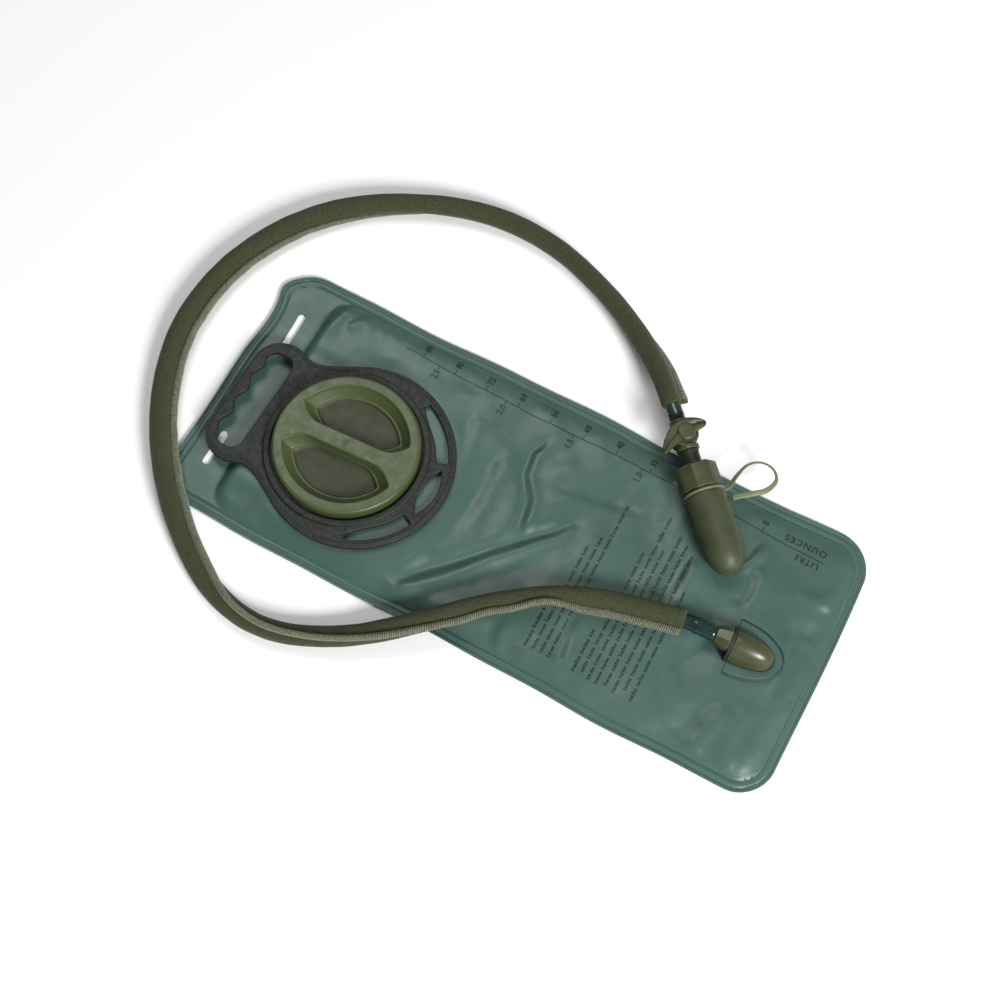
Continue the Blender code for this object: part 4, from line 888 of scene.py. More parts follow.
def film_net(holes, step):
    """Flat triangles of the bag: rows that follow its welded edge, and an even net inside."""
    insets = [0, 0.6, 1.2, 1.7, 2.3, 2.9, 3.6, 4.4, 5.2, 5.8, 6.3, 6.8, 7.4, 8.2, 9.4, 10.8]
    outer = rounded_rect(0)
    loose = []
    for inset in insets[1:]:
        loose += rounded_rect(inset * MM)
    xs = np.arange(-HALF_LENGTH, HALF_LENGTH, step)
    ys = np.arange(-HALF_WIDTH, HALF_WIDTH, step * 0.866)
    gx, gy = np.meshgrid(xs, ys)
    gx = gx + (np.arange(len(ys)) % 2)[:, None] * step / 2
    gx, gy = gx.ravel(), gy.ravel()
    keep = rect_inside(gx, gy, -HALF_LENGTH, HALF_LENGTH, -HALF_WIDTH, HALF_WIDTH, CORNER_R) > 11.6 * MM
    keep &= np.abs(gx - HEADER_X + 0.7 * MM) > 2.6 * MM
    loose += list(zip(gx[keep], gy[keep]))
    for shift in (-2.6, -1.9, -1.2, -0.5, 0, 0.5, 1.1):
        rows = np.arange(11.8 * MM - HALF_WIDTH, HALF_WIDTH - 11.6 * MM, 2 * MM)
        loose += [(HEADER_X + shift * MM, y) for y in rows]
    near_flange = np.abs(flange_inside(*np.array(loose).T)) < 1.6 * MM
    loose = [p for p, near in zip(loose, near_flange) if not near]
    for shift in (-1.4, -0.8, -0.3, 0.1, 0.6):
        loose += flange_outline(shift * MM)
    table = np.array(loose)
    keep = np.ones(len(table), bool)
    for hole in holes:
        keep &= ~inside_outline(table[:, 0], table[:, 1], hole)
        keep &= far_from(table[:, 0], table[:, 1], hole, 0.7 * MM)
    borders = [outer] + holes
    points, edges = [], []
    for border in borders:
        base = len(points)
        points += border
        edges += [(base + i, base + (i + 1) % len(border)) for i in range(len(border))]
    points += [tuple(p) for p in table[keep]]
    vectors = [Vector(p) * 1000 for p in points]
    verts, _, faces, _, _, _ = delaunay_2d_cdt(vectors, edges, [], 0, 1e-5)
    flat = np.array([tuple(v) for v in verts]) / 1000
    faces = np.array(faces)
    centre = flat[faces].mean(axis=1)
    keep = inside_outline(centre[:, 0], centre[:, 1], outer)
    for hole in holes:
        keep &= ~inside_outline(centre[:, 0], centre[:, 1], hole)
    return flat, faces[keep]


def film_mesh(name, flat, faces, top, thickness):
    """A closed film: its top, the same net a thickness lower, and the walls between them."""
    used = np.unique(faces)
    index = np.full(len(flat), -1)
    index[used] = np.arange(len(used))
    flat, top, faces = flat[used], top[used], index[faces]
    x, y = film_warp(flat[:, 0], flat[:, 1])
    count = len(flat)
    upper = np.stack([x, y, top], 1)
    lower = np.stack([x, y, top - thickness], 1)
    seen = {}
    for a, b, c in faces.tolist():
        for edge in ((a, b), (b, c), (c, a)):
            seen[edge] = True
    walls = [(b, a, a + count, b + count) for a, b in seen if (b, a) not in seen]
    mesh = bpy.data.meshes.new(name)
    every = faces.tolist() + (faces[:, ::-1] + count).tolist() + walls
    mesh.from_pydata(np.concatenate([upper, lower]).tolist(), [], every)
    return mesh


def build_films(front_mat, back_mat):
    slots = [slot_outline(y) for y in (SLOT_PITCH / 2, -SLOT_PITCH / 2)]
    neck = circle(NECK_R + 0.3 * MM, 96, CAP_AXIS.x, CAP_AXIS.y)
    step = 1.7 * MM
    flat, faces = film_net([neck, dome_outline()] + slots, step)
    top = film_height(flat[:, 0], flat[:, 1])
    mesh = film_mesh("film_front", flat, faces, top, 0.5 * MM)
    front = mesh_object("film_front", mesh, front_mat)
    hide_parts("front_film")
    flat, faces = film_net(slots, 5 * MM)
    level = np.full(len(flat), FILM)
    mesh = film_mesh("film_back", flat, faces, level, FILM)
    back = mesh_object("film_back", mesh, back_mat)
    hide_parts("back_film")
    for obj in (front, back):
        obj.data.set_sharp_from_angle(angle=math.radians(60))


# ---------------------------------------------------------------- print on the film

SCALE_LINE_MM = [
    (-112, 68.2), (-87, 66.4), (-50, 65.2), (-15, 64.6), (50, 65.4), (115, 64.8), (150, 62.8), (175, 62.2),
]
INK = 0.05 * MM                   # thickness of the print


def drape(bm, lift):
    """Lay a flat shape on the film, a little above it."""
    table = np.array([tuple(v.co) for v in bm.verts])
    heights = film_height(table[:, 0], table[:, 1]) + lift + table[:, 2]
    x, y = film_warp(table[:, 0], table[:, 1])
    for vert, place in zip(bm.verts, zip(x, y, heights)):
        vert.co = place


def print_strip(bm, points, width):
    """A printed line through points on the film."""
    low, high = [], []
    for i, p in enumerate(points):
        a, b = points[max(i - 1, 0)], points[min(i + 1, len(points) - 1)]
        d = Vector((b[0] - a[0], b[1] - a[1])).normalized() * width / 2
        low.append((p[0] - d.y, p[1] + d.x))
        high.append((p[0] + d.y, p[1] - d.x))
    rows = []
    for side, z in ((low, 0), (high, 0), (high, INK), (low, INK)):
        rows.append([bm.verts.new((x, y, z)) for x, y in side])
    for i in range(len(points) - 1):
        for a, b in zip(rows, rows[1:] + rows[:1]):
            bm.faces.new((a[i], a[i + 1], b[i + 1], b[i]))
    bm.faces.new([row[0] for row in rows][::-1])
    bm.faces.new([row[-1] for row in rows])


def print_words(bm, body, size, place, turn, spacing=1.0):
    """Printed characters, turned from reading along +X."""
    curve = bpy.data.curves.new("words", "FONT")
    curve.body = body
    curve.size = size
    curve.align_x, curve.align_y = "CENTER", "CENTER"
    curve.offset = 0.1 * MM
    curve.space_character = spacing
    curve.resolution_u = 3
    obj = bpy.data.objects.new("words", curve)
    bpy.context.scene.collection.objects.link(obj)
    bpy.context.view_layer.update()
    evaluated = obj.evaluated_get(bpy.context.evaluated_depsgraph_get())
    letters = bmesh.new()
    letters.from_mesh(evaluated.to_mesh())
    evaluated.to_mesh_clear()
    bmesh.ops.rotate(letters, verts=letters.verts, matrix=Matrix.Rotation(math.radians(turn), 3, "Z"))
    bmesh.ops.translate(letters, verts=letters.verts, vec=(place[0], place[1], INK))
    bmesh.ops.remove_doubles(letters, verts=letters.verts, dist=0.001 * MM)
    solid = bmesh.ops.extrude_face_region(letters, geom=letters.faces[:])
    down = [v for v in solid["geom"] if isinstance(v, bmesh.types.BMVert)]
    bmesh.ops.translate(letters, verts=down, vec=(0, 0, -INK))
    made = bpy.data.meshes.new("words")
    letters.to_mesh(made)
    letters.free()
    bm.from_mesh(made)
    bpy.data.meshes.remove(made)
    bpy.data.objects.remove(obj)


# Rows of small print: place along the bag, start and end across it, and stroke width, in mm.
SMALL_PRINT_MM = [
    (41, -66, -38, 1.1), (46, -66, 4, 0.7), (51, -66, 14, 0.7), (56, -66, 40, 0.7),
    (72, -66, -38, 1.1), (77, -64, 18, 0.7), (82, -66, 46, 0.7), (87, -66, 24, 0.7), (92.5, -64, 38, 0.7),
    (98, -66, 34, 0.7), (103.5, -62, 30, 0.7), (109, -66, 6, 0.7),
]


def small_print(bm):
    """Rows of small print, shown as plain strokes without letters."""
    for number, (x, start, end, width) in enumerate(SMALL_PRINT_MM):
        y, stroke = float(start), 0
        while y < end:
            pick = noise.noise((number * 3.7, stroke * 1.31, 0.5)) + 0.5
            height = 1.5 + 0.9 * (stroke % 3 == 0) * pick
            base = [(x + 1.0, y), (x + 1.0 - height, y + 0.25 * (stroke % 2))]
            print_strip(bm, [(a * MM, b * MM) for a, b in base], (width + 0.15) * MM)
            if stroke % 3 == 1:
                print_strip(bm, [((x + 0.1) * MM, y * MM), ((x + 0.1) * MM, (y + 1.1) * MM)], 0.6 * MM)
            y += width + 0.45 + (1.5 if stroke % 6 == 5 else 0) + 0.3 * pick
            stroke += 1


def scale_y(x):
    table = np.array(SCALE_LINE_MM)
    return float(np.interp(x / MM, table[:, 0], table[:, 1])) * MM


def build_print(mat):
    """Volume scale in ounces and litres, with their generic names, and rows of small print."""
    bm = bmesh.new()
    print_strip(bm, [(x * MM, scale_y(x * MM)) for x in range(-112, 176, 2)], 0.6 * MM)
    ounces = [-99 + 22.3 * i for i in range(7)] + [58, 83, 108, 134]
    for number, x in zip(range(88, 0, -8), ounces):
        y = scale_y(x * MM)
        print_strip(bm, [(x * MM, y), (x * MM, y + 3.2 * MM)], 0.55 * MM)
        print_words(bm, str(number), 5.6 * MM, (x * MM, y + (7.6 if number > 9 else 6.2) * MM), 90)
    for step in range(5):
        x = (-87 + 46.8 * step) * MM
        print_strip(bm, [(x, scale_y(x)), (x, scale_y(x) - 2.2 * MM)], 0.55 * MM)
        print_words(bm, f"{2.5 - 0.5 * step:.1f}", 5.6 * MM, (x, scale_y(x) - 6.4 * MM), 90)
    print_words(bm, "OUNCES", 5.8 * MM, (161 * MM, 67.9 * MM), 180, 1.25)
    print_words(bm, "LITRE", 5.2 * MM, (165 * MM, 58.6 * MM), 180, 1.25)
    small_print(bm)
    drape(bm, 0.12 * MM)
    from_bmesh("volume_scale", bm, mat)


# ---------------------------------------------------------------- collar and cap

HANDLE_REACH, HANDLE_WIDTH, HANDLE_BAR = 81.5 * MM, 85.5 * MM, 7 * MM
COLLAR_R, COLLAR_SHIFT = 58.9 * MM, 8 * MM
COLLAR_TURN = math.radians(-1.3)
STEP_IN, STEP_OUT = CAP_R + 1.7 * MM, CAP_R + 5.3 * MM


def collar_outline():
    """Ring and handle in one smooth outline, from the cap axis, counter-clockwise."""
    waist = [(-35.5 * MM, 43.2 * MM), (-42 * MM, 40.2 * MM), (-49.5 * MM, 39.3 * MM)]
    far, half, end_r = -HANDLE_REACH, HANDLE_WIDTH / 2, 19 * MM
    ring = arc(COLLAR_SHIFT, 0, COLLAR_R, 0, 124, 52)
    corner = arc(far + end_r, half - end_r, end_r, 80, 180, 18)
    blend = smooth_path([(*p, 0) for p in (ring[-1], *waist, corner[0])], 6)
    upper = ring + [(p.x, p.y) for p in blend[1:-1]] + corner
    lower = [(x, -y) for x, y in reversed(upper)]
    return upper + lower[1:-1]


def finger_hole_outline():
    """Straight towards the cap, waved on the far side for the fingers."""
    left = HANDLE_BAR - HANDLE_REACH
    width, half = 18 * MM, 34 * MM
    right, wave = left + width, 1.7 * MM
    radius = width / 2 - wave
    points = arc(right - radius, half - radius, radius, 0, 90, 8)
    points += arc(left + radius, half - radius, radius, 90, 180, 8)
    span = 2 * (half - radius)
    for i in range(1, 48):
        points.append((left + wave * math.sin(2 * math.pi * 3 * i / 48), half - radius - span * i / 48))
    points += arc(left + radius, radius - half, radius, 180, 270, 8)
    points += arc(right - radius, radius - half, radius, 270, 360, 8)
    return points


def crescent_outline(side):
    """Opening beside the cap, blunt at the end by the middle one and narrow at the other."""
    outer_r, inner_r = COLLAR_R - 5.0 * MM, COLLAR_R - 12.4 * MM
    outer = arc(COLLAR_SHIFT, 0, outer_r, 24, 68, 26)
    inner = []
    for i in range(27):
        turn = 69 - 45 * i / 26
        radius = inner_r + 4.4 * MM * max(0, (turn - 50) / 19) ** 2
        inner += arc(COLLAR_SHIFT, 0, radius, turn, turn, 1)[:1]
    points = chaikin(outer + inner, 1)
    return [(x, side * y) for x, y in points]


def lens_outline():
    middle, half_width, half_length = 55.9 * MM, 5.2 * MM, 16 * MM
    rows = [i / 12 - 1 for i in range(25)]
    outer = [(middle + half_width * (1 - t * t), half_length * t) for t in rows]
    inner = [(middle - half_width * (1 - t * t), half_length * t) for t in reversed(rows)]
    return chaikin(outer + inner[1:-1], 2)


def counter_clockwise(points):
    area = sum(a[0] * b[1] - b[0] * a[1] for a, b in zip(points, points[1:] + points[:1]))
    return points if area > 0 else points[::-1]


def crossings(x, y, border):
    """How many sides of a closed row of vertices a line from the point to +X crosses."""
    count = 0
    for a, b in zip(border, border[1:] + border[:1]):
        if (a.co.y > y) != (b.co.y > y):
            count += x < a.co.x + (y - a.co.y) * (b.co.x - a.co.x) / (b.co.y - a.co.y)
    return count


def add_plate_face(bm, borders):
    """Fill a level face inside the first border and outside the others."""
    verts, edges = [], []
    for border in borders:
        first, count = len(verts), len(border)
        edges += [(first + i, first + (i + 1) % count) for i in range(count)]
        verts += border
    made = delaunay_2d_cdt([v.co.xy for v in verts], edges, [], 0, 1e-9)
    origin = [rows[0] if rows else None for rows in made[3]]
    for face in made[2]:
        x, y = (sum(made[0][i][k] for i in face) / 3 for k in (0, 1))
        if sum(crossings(x, y, border) for border in borders) % 2:
            bm.faces.new([verts[origin[i]] for i in face])


def add_plate(bm, outer, holes, bottom, top, round_r):
    """A flat plate with rounded upper and lower edges, and holes with the same edges."""
    uppers, lowers = [], []
    for number, outline in enumerate([outer] + holes):
        outline = counter_clockwise(outline)
        sign = -1 if number == 0 else 1
        turns = [math.pi / 2 * k / 5 for k in range(6)]
        edge = [(1 - math.sin(t), bottom + round_r * (1 - math.cos(t))) for t in turns]
        edge += [(1 - math.cos(t), top - round_r * (1 - math.sin(t))) for t in turns]
        loops = [at_height(offset(outline, sign * round_r * inward), z) for inward, z in edge]
        inset = offset(outline, sign * (round_r + 0.35 * MM))
        loops = [at_height(inset, bottom)] + loops + [at_height(inset, top)]
        skin = add_loops(bm, loops)
        lowers.append(skin[0])
        uppers.append(skin[-1])
    add_plate_face(bm, uppers)
    add_plate_face(bm, lowers)


def build_collar(mat):
    bm = bmesh.new()
    seat = circle(NECK_R + 1.4 * MM, 96)
    holes = [seat, finger_hole_outline(), crescent_outline(1), crescent_outline(-1), lens_outline()]
    add_plate(bm, collar_outline(), holes, COLLAR_BOTTOM, COLLAR_TOP, 0.9 * MM)
    collar = from_bmesh("collar_plate", moved(bm, CAP_AXIS, COLLAR_TURN), mat)
    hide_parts("handle_collar")
    low = COLLAR_TOP - 0.4 * MM
    top = COLLAR_STEP_TOP
    profile = [(STEP_IN, low), (STEP_IN, top), (STEP_OUT, top), (STEP_OUT + 0.5 * MM, COLLAR_TOP + 0.2 * MM),
               (STEP_OUT + 1.6 * MM, low)]
    step = turned_closed(rounded_profile(profile, 0.7 * MM), CAP_AXIS)
    from_bmesh("collar_step", step, mat)
    bead = moved(rim_bead(collar_outline()), CAP_AXIS, COLLAR_TURN)
    from_bmesh("collar_bead", bead, mat)


def rim_bead(outline):
    """A low rounded bead that runs round the collar's upper face, inside its edge."""
    outline = counter_clockwise(outline)
    bm = bmesh.new()
    loops = []
    for k in range(9):
        t = math.pi * k / 8
        inward = 2.4 * MM - 0.9 * MM * math.cos(t)
        loops.append(at_height(offset(outline, -inward), COLLAR_TOP - 0.1 * MM + 0.45 * MM * math.sin(t)))
    add_loops(bm, loops, closed=True)
    return bm


def turned_closed(profile, axis, sides=128):
    """A ring turned from a closed profile round an upright axis."""
    bm = bmesh.new()
    loops = [[(axis.x + x, axis.y + y, h) for x, y in circle(r, sides)] for r, h in profile]
    add_loops(bm, loops, closed=True)
    return bm


WELL_R, WELL_DEPTH = CAP_R - 6.8 * MM, 8.5 * MM
BAR_HALF, BAR_FLARE = 5.1 * MM, 7.5 * MM
BAR_TURN = math.radians(3)
CAP_THREAD_CREST_R = 41.7 * MM


def well_outline(radius, bar_half):
    """One D-shaped finger well: the bar's straight side, which flares at both ends, and an arc."""
    corner = 2 * MM
    reach = math.sqrt(radius ** 2 - (bar_half + BAR_FLARE) ** 2) - corner
    straight = reach - 13.5 * MM
    side = []
    for i in range(41):
        x = reach * (2 * i / 40 - 1)
        side.append((x, bar_half + BAR_FLARE * max(0, (abs(x) - straight) / (reach - straight)) ** 2.1))
    start = math.degrees(math.atan2(side[-1][1] + corner, reach + corner * 0.9))
    return chaikin(side + arc(0, 0, radius, start, 180 - start, 60), 2)


# Steps down a finger well: how far in its arc and its straight side have moved, and the depth.
WELL_STEPS_MM = [
    (-1.1, -1.1, 0), (-0.8, -0.8, 0), (-0.45, -0.45, 0.08), (-0.2, -0.2, 0.24), (-0.05, -0.05, 0.5),
    (0, 0, 0.85), (1.0, 0.15, 2.2), (2.1, 0.35, 3.7), (3.2, 0.55, 5.2), (4.1, 0.7, 6.3),
    (4.35, 0.75, 6.7), (4.55, 0.85, 6.85), (5.2, 1.0, 6.9), (5.7, 1.1, 6.95), (5.9, 1.15, 7.15),
    (6.1, 1.25, 7.7), (6.4, 1.4, 8.2), (7.0, 1.8, 8.5), (8.0, 2.6, 8.5),
]


def well_loops(turn):
    """Loops down one finger well, from the cap's top face to the well's floor."""
    spin = Matrix.Rotation(turn, 2)
    loops = []
    for arc_in, side_in, depth in WELL_STEPS_MM:
        points = well_outline(WELL_R - arc_in * MM, BAR_HALF + side_in * MM)
        loops.append([(*(spin @ Vector(p)), CAP_TOP - depth * MM) for p in points])
    return loops


def build_cap(mat, well_floor_and_shade_mat):
    bm = bmesh.new()
    sides = 160
    plug_r = 37.1 * MM
    plate_under = CAP_TOP - 2.3 * MM
    neck_top = FILM_TOP + 8.6 * MM
    plug_bottom = CAP_TOP - WELL_DEPTH - 1.8 * MM
    bore_r = CAP_R - 1.9 * MM
    profile = [(34.0 * MM, plug_bottom), (plug_r - 2.6 * MM, plug_bottom), (plug_r, neck_top),
               (plug_r, plate_under), (bore_r, plate_under), (bore_r, CAP_BOTTOM), (CAP_R, CAP_BOTTOM),
               (CAP_R, CAP_TOP), (CAP_R - 4 * MM, CAP_TOP)]
    profile = rounded_profile(profile, 0.5 * MM, 2)
    edge = [(r, h) for r, h in profile if not (h > CAP_TOP - 2.5 * MM and r > CAP_R - 3.5 * MM)]
    edge += [(CAP_R - 2.0 * MM + 2.0 * MM * math.cos(t), CAP_TOP - 2.0 * MM + 2.0 * MM * math.sin(t))
             for t in [math.pi / 2 * k / 8 for k in range(9)]]
    edge.append((CAP_R - 2.8 * MM, CAP_TOP))
    edge = [p for p in edge if p != (CAP_R - 4 * MM, CAP_TOP)]
    skin = add_loops(bm, [at_height(circle(r, sides), h) for r, h in edge])
    add_flat(bm, skin[0])
    wells = [add_loops(bm, well_loops(BAR_TURN + turn)) for turn in (0, math.pi)]
    add_flat(bm, skin[-1], wells[0][0], wells[1][0])
    for well in wells:
        add_flat(bm, well[-1])
    cap = from_bmesh("cap_moulded", moved(bm, CAP_AXIS, 0), mat, "cap", sharp=65)
    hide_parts("cap_shell")
    # The wells' floors take a darker material: partly the floor's own darker tone, partly painted shade of
    # the deep wells.
    cap.data.materials.append(well_floor_and_shade_mat)
    for face in cap.data.polygons:
        out = math.hypot(face.center.x - CAP_AXIS.x, face.center.y - CAP_AXIS.y)
        depth = CAP_TOP - face.center.z
        if out < WELL_R and 7.3 * MM < depth < WELL_DEPTH + 0.1 * MM:
            face.material_index = 1
    mark = [(0, 0.30), (0.5, 0.30), (0.8, 0.12), (1.2, 0.05),
            (1.5, 0.25), (1.9, 0.30), (2.2, 0.12), (2.4, -0.1)]
    gate = turned([(r * MM, CAP_TOP + h * MM) for r, h in mark], 40)
    from_bmesh("cap_gate_mark", moved(gate, CAP_AXIS, 0), mat, "cap", sharp=80)
    thread = thread_ridge(bore_r + 0.3 * MM, CAP_THREAD_CREST_R, CAP_BOTTOM + 1.6 * MM)
    from_bmesh("cap_thread", moved(thread, CAP_AXIS, 0), mat, "cap")


def thread_ridge(root_r, crest_r, start_z):
    """A helical ridge of a little over one turn."""
    turns_made, pitch, width = 1.1, 1.9 * MM, 1.2 * MM
    bm = bmesh.new()
    loops = []
    steps = 120
    for i in range(steps + 1):
        turn = 2 * math.pi * turns_made * i / steps
        z = start_z + pitch * turns_made * i / steps
        taper = min(1, i / 10, (steps - i) / 10)
        crest = root_r + (crest_r - root_r) * (0.3 + 0.7 * taper)
        section = [(root_r, -width / 2), (crest, -width / 5), (crest, width / 5), (root_r, width / 2)]
        loops.append([(r * math.cos(turn), r * math.sin(turn), z + dz) for r, dz in section])
    skin = add_loops(bm, loops)
    bm.faces.new(skin[0][::-1])
    bm.faces.new(skin[-1])
    return bm


# ---------------------------------------------------------------- outlet

def dome_section(x, margin, foot):
    """Arch-shaped section of the port's dome, at x from its blunt face."""
    share = (1 - min(1, max(x, 0) / DOME_LENGTH) ** 2.6) ** (1 / 2.6)
    half = DOME_HALF * share + margin
    rise = 13.6 * MM * share + margin
    shoulder = FILM_TOP - HOSE_AXIS_Z
    turns = [math.pi * i / 32 for i in range(33)]
    points = [(x, half * math.cos(t), shoulder + rise * math.sin(t)) for t in turns]
    return [(x, half, foot)] + points + [(x, -half, foot)]


def build_outlet(port_mat, shadow_strip_mat):
    """The port's dome, its blunt face rounded, and a dark strip of painted shadow in the gap round its
    flange.
    """
    foot = 4.8 * MM - HOSE_AXIS_Z
    loops = [dome_section(0, -1.0 * MM, foot), dome_section(0.25 * MM, -0.3 * MM, foot)]
    for i in range(20):
        x = 1 * MM + (DOME_LENGTH - 1 * MM) * math.sin(math.pi / 2 * i / 20)
        loops.append(dome_section(x, 0, foot))
    loops.append(dome_section(DOME_LENGTH * 0.9995, 0, foot))
    bm = bmesh.new()
    skin = add_loops(bm, loops)
    bm.faces.new(skin[0][::-1])
    bm.faces.new(skin[-1])
    from_bmesh("port_dome", moved(bm, OUTLET_AXIS, OUTLET_TURN), port_mat, sharp=40)
    # A dark strip laid on the film round the flange: painted shadow of the gap there.
    lower_end, upper_end = (from_outlet([(-0.4 * MM, v * MM) for v in across])
                            for across in ((-12, -15), (15, 12)))
    bm = bmesh.new()
    print_strip(bm, lower_end + flange_outline() + upper_end, 1.1 * MM)
    drape(bm, 0.2 * MM)
    from_bmesh("port_painted_shadow_strip", bm, shadow_strip_mat)


# ---------------------------------------------------------------- bite end

def bite_piece(name, bm, mat, body="root", sharp=45):
    return from_bmesh(name, moved(bm, BITE_AXIS, BITE_TURN), mat, body, sharp)


def octagon_loops(sizes, sides=8, round_share=0.10):
    """Loops of an octagon with rounded corners, of (place, radius) along X."""
    loops = []
    for x, radius in sizes:
        turns = [2 * math.pi * (i + 0.5) / sides for i in range(sides)]
        corners = [(radius * math.cos(t), radius * math.sin(t)) for t in turns]
        points = []
        for i, c in enumerate(corners):
            before, after = corners[i - 1], corners[(i + 1) % sides]
            for t in (0, 0.5, 1):
                a = Vector(c).lerp(Vector(before), round_share)
                b = Vector(c).lerp(Vector(after), round_share)
                p = a * (1 - t) ** 2 + Vector(c) * 2 * t * (1 - t) + b * t ** 2
                points.append((x, p.x, p.y))
        loops.append(points)
    return loops


def build_cover(mat):
    """Dust cover with a rolled mouth, and the lug that its strap is held by."""
    start, length, radius = 61.0 * MM, 49.5 * MM, 12.5 * MM
    tip = start + length
    nose = tip - 20 * MM
    outer = [(radius * math.cos(t) ** 0.8, nose + 20 * MM * math.sin(t)) for t in
             [math.pi / 2 * i / 24 for i in range(24)]] + [(0, tip)]
    inner_r = radius - 1.5 * MM
    inner = [(inner_r * math.cos(t) ** 0.8, nose + 18 * MM * math.sin(t)) for t in
             [math.pi / 2 * i / 16 for i in range(16)]] + [(0, nose + 18 * MM)]
    mouth = [(inner_r, start + 1.2 * MM), (inner_r + 0.1 * MM, start + 0.3 * MM), (inner_r + 0.5 * MM, start),
             (radius - 0.1 * MM, start), (radius + 0.15 * MM, start + 0.5 * MM),
             (radius + 0.15 * MM, start + 1.8 * MM), (radius - 0.1 * MM, start + 2.6 * MM)]
    bm = turned(inner[::-1] + mouth + outer, 72, True)
    cover = bite_piece("cover_shell", bm, mat, "cover")
    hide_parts("bite_cover")
    lug = bmesh.new()
    bmesh.ops.create_cube(lug, size=1)
    bmesh.ops.scale(lug, verts=lug.verts, vec=(4.4 * MM, 2.6 * MM, 4.0 * MM))
    bmesh.ops.bevel(lug, geom=lug.edges[:], offset=0.8 * MM, segments=3, affect="EDGES")
    bmesh.ops.translate(lug, verts=lug.verts, vec=(start + 5.8 * MM, radius + 0.7 * MM, 0))
    return [cover, bite_piece("cover_lug", lug, mat, "cover")]


def build_bite_collar(mat):
    start, end, radius = 41.6 * MM, 58.5 * MM, 13.1 * MM
    chamfer = 1.3 * MM
    bore = 9.5 * MM
    rounding = [(0, 2.1 * MM), (0.25 * MM, 1.3 * MM), (chamfer, 0.15 * MM), (chamfer + 0.5 * MM, 0)]
    sizes = [(start + along, radius - inward) for along, inward in rounding]
    sizes += [(end - along, radius - inward) for along, inward in rounding[::-1]]
    bm = bmesh.new()
    skin = add_loops(bm, octagon_loops(sizes))
    sides = 40
    back, front, deep = ([bm.verts.new((x, y, z)) for y, z in circle(r, sides)]
                         for x, r in ((start, 5.7 * MM), (end, bore), (start + 1.1 * MM, bore)))
    add_flat(bm, skin[0], back)
    add_flat(bm, skin[-1], front)
    for i in range(sides):
        j = (i + 1) % sides
        bm.faces.new((front[i], front[j], deep[j], deep[i]))
        bm.faces.new((deep[i], deep[j], back[j], back[i]))
    collar = bite_piece("bite_collar_moulded", bm, mat, sharp=25)
    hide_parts("bite_collar")
    return collar


STRAP_LOOP_MM = [
    (0, 9.9, 0), (-1, 16.5, 0), (-6, 22, -1.2), (-12, 32, -2.4), (-11.5, 41, -3), (-5.5, 46.5, -3),
    (2, 45.5, -2.6), (6.5, 37.5, -1.8), (6.6, 28, -1), (6.2, 21, -0.4), (6.2, 15.6, 0),
]


def build_tether(mat):
    """Ring behind the dust cover, and the flat strap that loops from it to the cover."""
    start, width = 58.8 * MM, 1.9 * MM
    profile = [(8.4 * MM, start), (12.3 * MM, start), (12.75 * MM, start + 0.4 * MM),
               (12.75 * MM, start + 1.5 * MM), (12.3 * MM, start + width), (8.4 * MM, start + width)]
    bm = bmesh.new()
    loops = [[(h, y, x) for x, y in circle(r, 72)] for r, h in rounded_profile(profile, 0.3 * MM, 2)]
    add_loops(bm, loops, closed=True)
    ring = bite_piece("tether_ring", bm, mat)
    middle = start + width / 2
    path = smooth_path([Vector(p) * MM + Vector((middle, 0, 0)) for p in STRAP_LOOP_MM], 8)
    points, _ = evenly(path, 0, 0, 120)
    _, level, up = frames_along(points)
    section = np.array(chaikin([(0.7, -1.7), (0.7, 1.7), (-0.7, 1.7), (-0.7, -1.7)], 2)) * MM
    share = np.linspace(0, 1, len(points))
    twist = np.radians(np.interp(share, [0, 0.25, 0.5, 0.75, 1], [70, 30, 25, 60, 85]))[:, None]
    first = np.cos(twist) * level + np.sin(twist) * up
    second = np.cos(twist) * up - np.sin(twist) * level
    rings = points[:, None] + section[None, :, :1] * first[:, None] + section[None, :, 1:] * second[:, None]
    bm = bmesh.new()
    bm.from_mesh(tube_mesh("tether_strap", rings))
    strap = bite_piece("tether_strap", bm, mat)
    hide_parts("cover_tether")
    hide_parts("cover_tether")
    return [ring, strap]


def build_valve(mat, stem_mat):
    """Valve body, its barrel, and the neck that leads to the mouthpiece."""
    start, end = 10.3 * MM, 31.0 * MM
    profile = [(0, start), (5.2 * MM, start), (5.8 * MM, start + 0.6 * MM), (5.8 * MM, start + 2.6 * MM),
               (5.2 * MM, start + 3.3 * MM), (6.2 * MM, start + 4.2 * MM), (6.2 * MM, end - 3.4 * MM),
               (7.0 * MM, end - 2.8 * MM), (7.0 * MM, end - 0.5 * MM), (6.4 * MM, end), (0, end)]
    bm = turned(rounded_profile(profile, 0.4 * MM, 3), 64, True)
    body = bite_piece("valve_moulded", bm, mat)
    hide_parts("valve_body")
    barrel_profile = [(0, -6.6 * MM), (7.4 * MM, -6.6 * MM), (8.4 * MM, -5.6 * MM), (8.4 * MM, 5.6 * MM),
                      (7.6 * MM, 6.4 * MM), (0, 6.4 * MM)]
    bm = turned(rounded_profile(barrel_profile, 0.5 * MM, 3), 64)
    bmesh.ops.translate(bm, verts=bm.verts, vec=(21 * MM, 0, 0))
    barrel = bite_piece("valve_barrel", bm, mat)
    start = 31.3 * MM
    profile = [(0, start), (5.9 * MM, start), (5.6 * MM, start + 2 * MM), (5.4 * MM, start + 8 * MM),
               (5.6 * MM, start + 10.2 * MM), (5.6 * MM, start + 11.7 * MM), (0, start + 11.7 * MM)]
    bm = turned(rounded_profile(profile, 0.6 * MM, 3), 56, True)
    return [body, barrel, bite_piece("stem_neck", bm, stem_mat)]


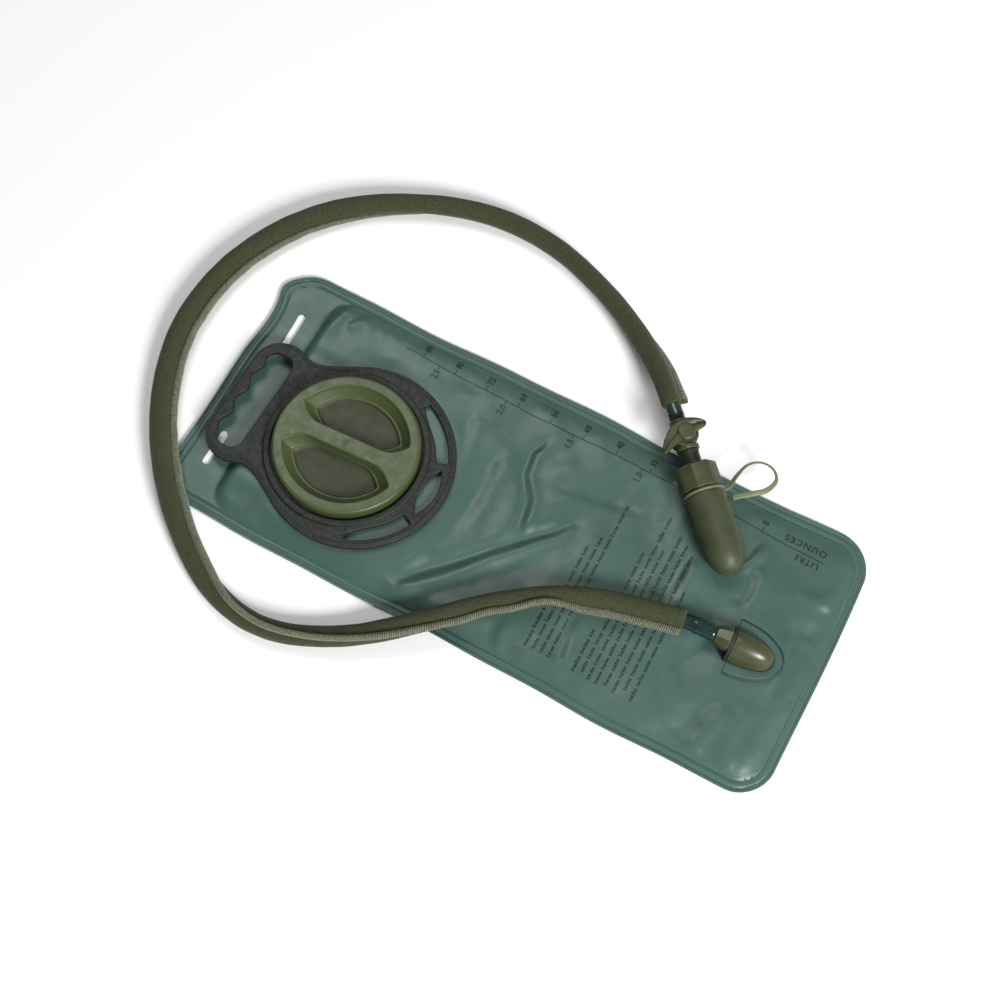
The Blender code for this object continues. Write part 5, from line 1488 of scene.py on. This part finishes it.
def build_lever(mat):
    """Crescent wing lever with two raised bands along it, which turns on the valve's barrel."""
    bottom = 7.5 * MM
    long_arm, short_arm, bow = 19 * MM, 13.5 * MM, 7 * MM
    band = [(-1, 0), (-1, 1.7), (-0.9, 2.7), (-0.72, 3.2), (-0.42, 3.25), (-0.2, 2.7), (-0.1, 1.6),
            (0.05, 1.5), (0.2, 2.2), (0.42, 2.6), (0.68, 2.5), (0.88, 1.8), (1, 0.9), (1, 0)]
    loops = []
    for i in range(49):
        y = -long_arm + (long_arm + short_arm) * i / 48
        arm = abs(y) / (long_arm if y < 0 else short_arm)
        centre = bow * (y / long_arm) ** 2 - 2.2 * MM
        width = 5.6 * MM * (0.16 + 0.84 * math.cos(math.pi / 2 * min(1, arm)) ** 0.6)
        height = 0.75 + 0.25 * math.cos(math.pi / 2 * arm)
        loops.append([(centre + u * width, y, bottom + h * height * MM) for u, h in band])
    bm = bmesh.new()
    skin = add_loops(bm, loops)
    bm.faces.new(skin[0])
    bm.faces.new(skin[-1][::-1])
    turn = Matrix.Translation((21 * MM, 0, 0)) @ Matrix.Rotation(math.radians(16), 4, "Z")
    bmesh.ops.transform(bm, matrix=turn, verts=bm.verts)
    wing = bite_piece("lever_wing", bm, mat, "lever", sharp=60)
    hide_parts("shutoff_lever")
    hub_profile = [(r * MM, bottom + h * MM) for r, h in
                   ((0, -0.7), (5.6, -0.7), (5.6, 2.4), (4.6, 3.4), (0, 3.5))]
    hub = turned(rounded_profile(hub_profile, 0.8 * MM, 4), 56)
    bmesh.ops.translate(hub, verts=hub.verts, vec=(21.6 * MM, 0, 0))
    return [wing, bite_piece("lever_hub", hub, mat, "lever")]


# ---------------------------------------------------------------- the whole object

def finish_node(node, mat):
    """Give a CAD node that stays visible its procedural material."""
    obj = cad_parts[node]
    obj.data.materials.clear()
    obj.data.materials.append(mat)


def main():
    build_camera()
    tube_mat, thread = tube_shader(), thread_shader()
    cloth = cloth_shader("sleeve_knit", OLIVE_CLOTH)
    seam_cloth = cloth_shader("seam_knit", OLIVE_SEAM)
    valve = moulded("valve_olive", OLIVE_VALVE, 0.36, 0.5, variation=0.12)
    stem = moulded("stem_dark_olive", OLIVE_DARK, 0.45, 0.6)
    cover_mat = moulded("cover_olive", OLIVE_COVER, 0.46, 0.58, variation=0.12)
    strap_mat = moulded("strap_olive", OLIVE_STRAP, 0.35, 0.5)
    path = hose_path()
    tube, tube_points = build_tube(path, tube_mat)
    sleeve = build_sleeve(path, cloth, seam_cloth, thread)
    bite = build_valve(valve, stem) + build_lever(valve) + [build_bite_collar(valve)]
    bite += build_tether(strap_mat) + build_cover(cover_mat)
    build_films(film_shader(), back_film_shader())
    build_print(print_shader())
    build_collar(collar_shader())
    build_cap(moulded("cap_olive", OLIVE_CAP, 0.34, 0.5, variation=0.07),
              moulded("cap_well_floor_and_painted_shade", OLIVE_WELL_FLOOR_AND_SHADE, 0.5, 0.65, variation=0.15))
    port = moulded("port_olive", OLIVE_PORT, 0.30, 0.40, coat=0.1)
    # Dark teal for the strip of painted shadow round the port's flange.
    port_shadow_strip_mat = moulded("painted_shadow_strip_dark", (0.018, 0.032, 0.028), 0.4, 0.5)
    build_outlet(port, port_shadow_strip_mat)
    rubber = rubber_shader()
    for node in ("cap_gasket", "outlet_seal", "connector_oring", "spindle_oring", "stem_oring"):
        finish_node(node, rubber)
    finish_node("filler_neck", collar_shader())
    for node, mat in (("hose_connector", port), ("outlet_port", port),
                      ("valve_spindle", stem), ("mouth_stem", stem)):
        finish_node(node, mat)
    finish_node("bite_valve", silicone_shader())
    build_floor()
    build_light()


main()
